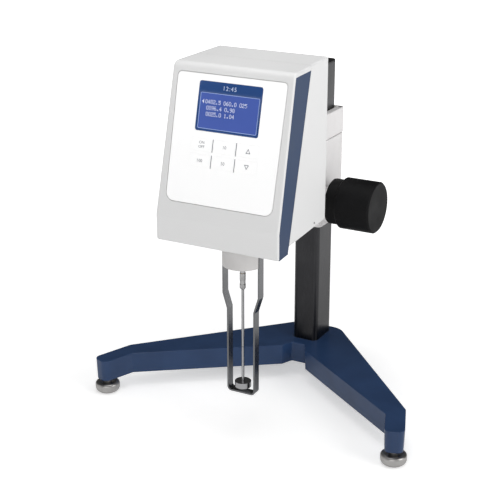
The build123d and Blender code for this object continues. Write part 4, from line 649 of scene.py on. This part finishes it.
def add_display():
    """Window frame, lit field with its border, and lines of plain numbers."""
    bezel = finish_piece(shape_bezel(), "lift", BEZEL_INK)
    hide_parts("display_window")
    field_low = SKIN - FIELD_SUNK + 0.01 * MM
    field = flat_plate("display_field", FIELD_WIDTH - 2 * FIELD_GAP,
                       FIELD_HEIGHT - 2 * FIELD_GAP, 0.9 * MM, 0, FIELD_Y, field_low,
                       FIELD_THICK)
    finish_piece(settle(field, FACE), "lift", LIT_FIELD)
    dots_low = field_low + FIELD_THICK
    border = flat_ring("display_border", FIELD_WIDTH - 2 * BORDER_GAP,
                       FIELD_HEIGHT - 2 * BORDER_GAP, 1.6 * MM, BORDER_WIDTH, 0, FIELD_Y,
                       dots_low, PRINT_THICK)
    finish_piece(settle(border, FACE), "lift", BORDER_DOTS)
    signs = {}
    lines = (("display_pointer", "<", -30.5, -37.8),
             ("display_line_1", "0482.5 060.0 025", -26.7, -37.8),
             ("display_line_2", "0096.4 0.98", -24.9, -44.1),
             ("display_line_3", "0025.0 1.04", -24.9, -50.4))
    for name, words, left, y in lines:
        line = shape_line(name, words, left * MM, y * MM, dots_low, signs)
        finish_piece(line, "lift", LIT_DOTS)
    for sign in signs.values():
        bpy.data.objects.remove(sign)
    clock = printed_words("display_header", "12:45", HEADER_TALL, HEADER_X, HEADER_Y, SKIN,
                          spacing=1.2)
    finish_piece(settle(clock, FACE), "lift", HEADER_INK)


KEY_X = 27.5 * MM
KEY_Y = (-82.6 * MM, -99.2 * MM)
KEY_WIDTH = 25.0 * MM            # the panel's opening for each key
KEY_HEIGHT = 13.4 * MM
KEY_FILM = 0.75 * MM             # band of the thin film that covers the gap round a key
FILM_THICK = 0.015 * MM
WORD_TALL = 2.9 * MM
NUMBER_TALL = 3.3 * MM
ARROW_WIDE = 5.4 * MM
ARROW_TALL = 5.0 * MM
BAR_WIDE = 0.8 * MM
BAR_TALL = 13.7 * MM


def add_key_marks():
    """Marks on the six keys and the thin bars between them."""
    left = -KEY_X + 0.6 * MM
    right = KEY_X + 0.2 * MM
    on = printed_words("mark_on", "ON", WORD_TALL, left, KEY_Y[0] + 2.3 * MM, SKIN)
    off = printed_words("mark_off", "OFF", WORD_TALL, left, KEY_Y[0] - 2.1 * MM, SKIN)
    marks = [(join_pieces("mark_on_off", [on, off]), "key_1"),
             (printed_words("mark_10", "10", NUMBER_TALL, 0, KEY_Y[0], SKIN), "key_2"),
             (shape_arrow("mark_up", ARROW_WIDE, ARROW_TALL, right, KEY_Y[0] - 0.9 * MM,
                          SKIN, 0), "key_3"),
             (printed_words("mark_100", "100", NUMBER_TALL, -KEY_X, KEY_Y[1], SKIN), "key_4"),
             (printed_words("mark_50", "50", NUMBER_TALL, 0, KEY_Y[1], SKIN), "key_5"),
             (shape_arrow("mark_down", ARROW_WIDE, ARROW_TALL, right, KEY_Y[1] + 0.9 * MM,
                          SKIN, math.pi), "key_6")]
    for mark, body in marks:
        finish_piece(settle(mark, FACE), body, KEY_INK)
    for number, (side, y) in enumerate(((-1, KEY_Y[0]), (1, KEY_Y[0]), (-1, KEY_Y[1]),
                                        (1, KEY_Y[1])), start=1):
        bar = flat_plate(f"key_bar_{number}", BAR_WIDE, BAR_TALL, 0.3 * MM,
                         side * KEY_X / 2, y, SKIN, PRINT_THICK)
        finish_piece(settle(bar, FACE), "lift", KEY_INK)


ROCKER_PIVOT = Vector((34.0, 69.6, 362.0)) * MM
ROCKER_TILT = math.radians(9.0)
ROCKER_SLOPE = math.radians(10.4)   # of each half against the middle
ROCKER_HALF = 3.9 * MM              # from the pivot to the middle of a half
ROCKER_RISE = 1.125 * MM
ROCKER_MARK = 2.8 * MM


def add_key_films():
    """Thin white film over the gap round each key."""
    films = []
    for y in KEY_Y:
        for side in (-1, 0, 1):
            films.append(flat_ring("key_film", KEY_WIDTH + 0.6 * MM, KEY_HEIGHT + 0.6 * MM,
                                   1.5 * MM, KEY_FILM, side * KEY_X, y, SKIN, FILM_THICK))
    film = join_pieces("key_films", films)
    finish_piece(settle(film, FACE), "lift", FINISH["panel_plastic"])


def add_rocker_marks():
    """The two marks of the mains switch, one on each half of its rocker."""
    rocker = Matrix.Translation(ROCKER_PIVOT) @ Matrix.Rotation(ROCKER_TILT, 4, "X")
    upright = Matrix.Rotation(math.pi, 4, "Z") @ Matrix.Rotation(math.pi / 2, 4, "X")
    for name, sign, half in (("rocker_mark_on", "I", 1), ("rocker_mark_off", "O", -1)):
        mark = printed_words(name, sign, ROCKER_MARK, 0, 0, 0)
        slope = (Matrix.Translation((0, ROCKER_RISE, half * ROCKER_HALF))
                 @ Matrix.Rotation(-half * ROCKER_SLOPE, 4, "X"))
        finish_piece(settle(mark, rocker @ slope @ upright), "rocker",
                     ROCKER_INK)


add_display()
add_key_marks()
add_key_films()
add_rocker_marks()

# ---- floor, light and camera ----------------------------------------------
FLOOR_SIZE = 14.0
FLOOR_NEAR = 0.125               # glow of the paper under the part
FLOOR_FAR = 0.83                 # and past the reach below
FLOOR_REACH = (0.35, 1.2)
FLOOR_SEEN = 0.32                # more of it in the picture itself
POWER_FRONT = 9.4                # watts
POWER_LEFT = 2.6
POWER_RIGHT = 12.4
POWER_ABOVE = 1.8
SKY_SOFT = 0.365                 # light from all round
SKY_MIRROR = 0.06                # what shiny pieces see of it

clear()
bpy.ops.mesh.primitive_plane_add(size=FLOOR_SIZE, location=(0, 0, 0))
floor = bpy.context.active_object
floor.name = "floor"
floor_paint, floor_tree, floor_shader, floor_place = new_material("floor paper")
floor_cloud = floor_tree.nodes.new("ShaderNodeTexNoise")
floor_cloud.inputs["Scale"].default_value = 3.0
floor_tree.links.new(floor_place, floor_cloud.inputs["Vector"])
floor_tree.links.new(mixed(floor_tree, floor_cloud.outputs["Fac"], (0.86, 0.86, 0.86, 1),
                           (0.90, 0.90, 0.90, 1)), floor_shader.inputs["Base Color"])
floor_shader.inputs["Roughness"].default_value = 0.9
floor_shader.inputs["Specular IOR Level"].default_value = 0.0
floor_reach = floor_tree.nodes.new("ShaderNodeVectorMath")
floor_reach.operation = "LENGTH"
floor_tree.links.new(floor_place, floor_reach.inputs[0])
floor_shader.inputs["Emission Color"].default_value = (1, 1, 1, 1)
floor_rays = floor_tree.nodes.new("ShaderNodeLightPath")
floor_glow = floor_tree.nodes.new("ShaderNodeMath")
floor_glow.operation = "ADD"
floor_tree.links.new(ranged(floor_tree, floor_reach.outputs["Value"], FLOOR_NEAR, FLOOR_FAR,
                            *FLOOR_REACH), floor_glow.inputs[0])
floor_tree.links.new(ranged(floor_tree, floor_rays.outputs["Is Camera Ray"], 0.0, FLOOR_SEEN,
                            0.0, 1.0), floor_glow.inputs[1])
floor_tree.links.new(floor_glow.outputs["Value"], floor_shader.inputs["Emission Strength"])
floor.data.materials.append(floor_paint)


def softbox(name, place, aim, width, height, power):
    """Large soft light that looks at a point."""
    clear()
    bpy.ops.object.light_add(type="AREA", location=place)
    light = bpy.context.active_object
    light.name = name
    light.data.shape = "RECTANGLE"
    light.data.size = width
    light.data.size_y = height
    light.data.energy = power
    direction = Vector(aim) - Vector(place)
    light.rotation_euler = direction.to_track_quat("-Z", "Y").to_euler()
    return light


BODY = (0, 0.05, 0.2)             # the middle of the part
softbox("light from the front", (0.55, -1.75, 0.75), (0, 0.05, 0.25), 1.5, 1.0, POWER_FRONT)
softbox("light from the left", (-1.5, -1.1, 0.8), BODY, 1.1, 1.1, POWER_LEFT)
softbox("light from the right", (1.7, 0.0, 0.9), BODY, 1.1, 1.1, POWER_RIGHT)
softbox("light from above", (0.0, 0.03, 0.85), (0, 0.03, 0.2), 0.5, 0.4, POWER_ABOVE)

world = bpy.data.worlds.new("studio")
bpy.context.scene.world = world
world.use_nodes = True
sky = world.node_tree
sky.nodes.clear()
sky_out = sky.nodes.new("ShaderNodeOutputWorld")
sky_light = sky.nodes.new("ShaderNodeBackground")
sky_light.inputs["Color"].default_value = (1, 1, 1, 1)
sky_rays = sky.nodes.new("ShaderNodeLightPath")
sky_mirror = sky.nodes.new("ShaderNodeMapRange")
sky_mirror.inputs["To Min"].default_value = SKY_SOFT
sky_mirror.inputs["To Max"].default_value = SKY_MIRROR
sky.links.new(sky_rays.outputs["Is Glossy Ray"], sky_mirror.inputs["Value"])
sky_level = sky.nodes.new("ShaderNodeMapRange")
sky_level.inputs["To Max"].default_value = 1.0
sky.links.new(sky_mirror.outputs["Result"], sky_level.inputs["To Min"])
sky.links.new(sky_rays.outputs["Is Camera Ray"], sky_level.inputs["Value"])
sky.links.new(sky_level.outputs["Result"], sky_light.inputs["Strength"])
sky.links.new(sky_light.outputs["Background"], sky_out.inputs["Surface"])

AZIMUTH = math.radians(28.13)
ELEVATION = math.radians(20.31)
DISTANCE = 1.3504
TARGET = Vector((8.91, 0.0, 213.21)) * MM
FOCAL_LENGTH = 90.02
SENSOR_WIDTH = 36.0
back = Vector((math.sin(AZIMUTH) * math.cos(ELEVATION),
               -math.cos(AZIMUTH) * math.cos(ELEVATION), math.sin(ELEVATION)))
clear()
bpy.ops.object.camera_add(location=TARGET + back * DISTANCE)
camera = bpy.context.active_object
camera.rotation_euler = back.to_track_quat("Z", "Y").to_euler()
camera.data.lens = FOCAL_LENGTH
camera.data.sensor_width = SENSOR_WIDTH
camera.data.clip_start = 0.05
bpy.context.scene.camera = camera
bpy.context.scene.view_settings.view_transform = "Standard"
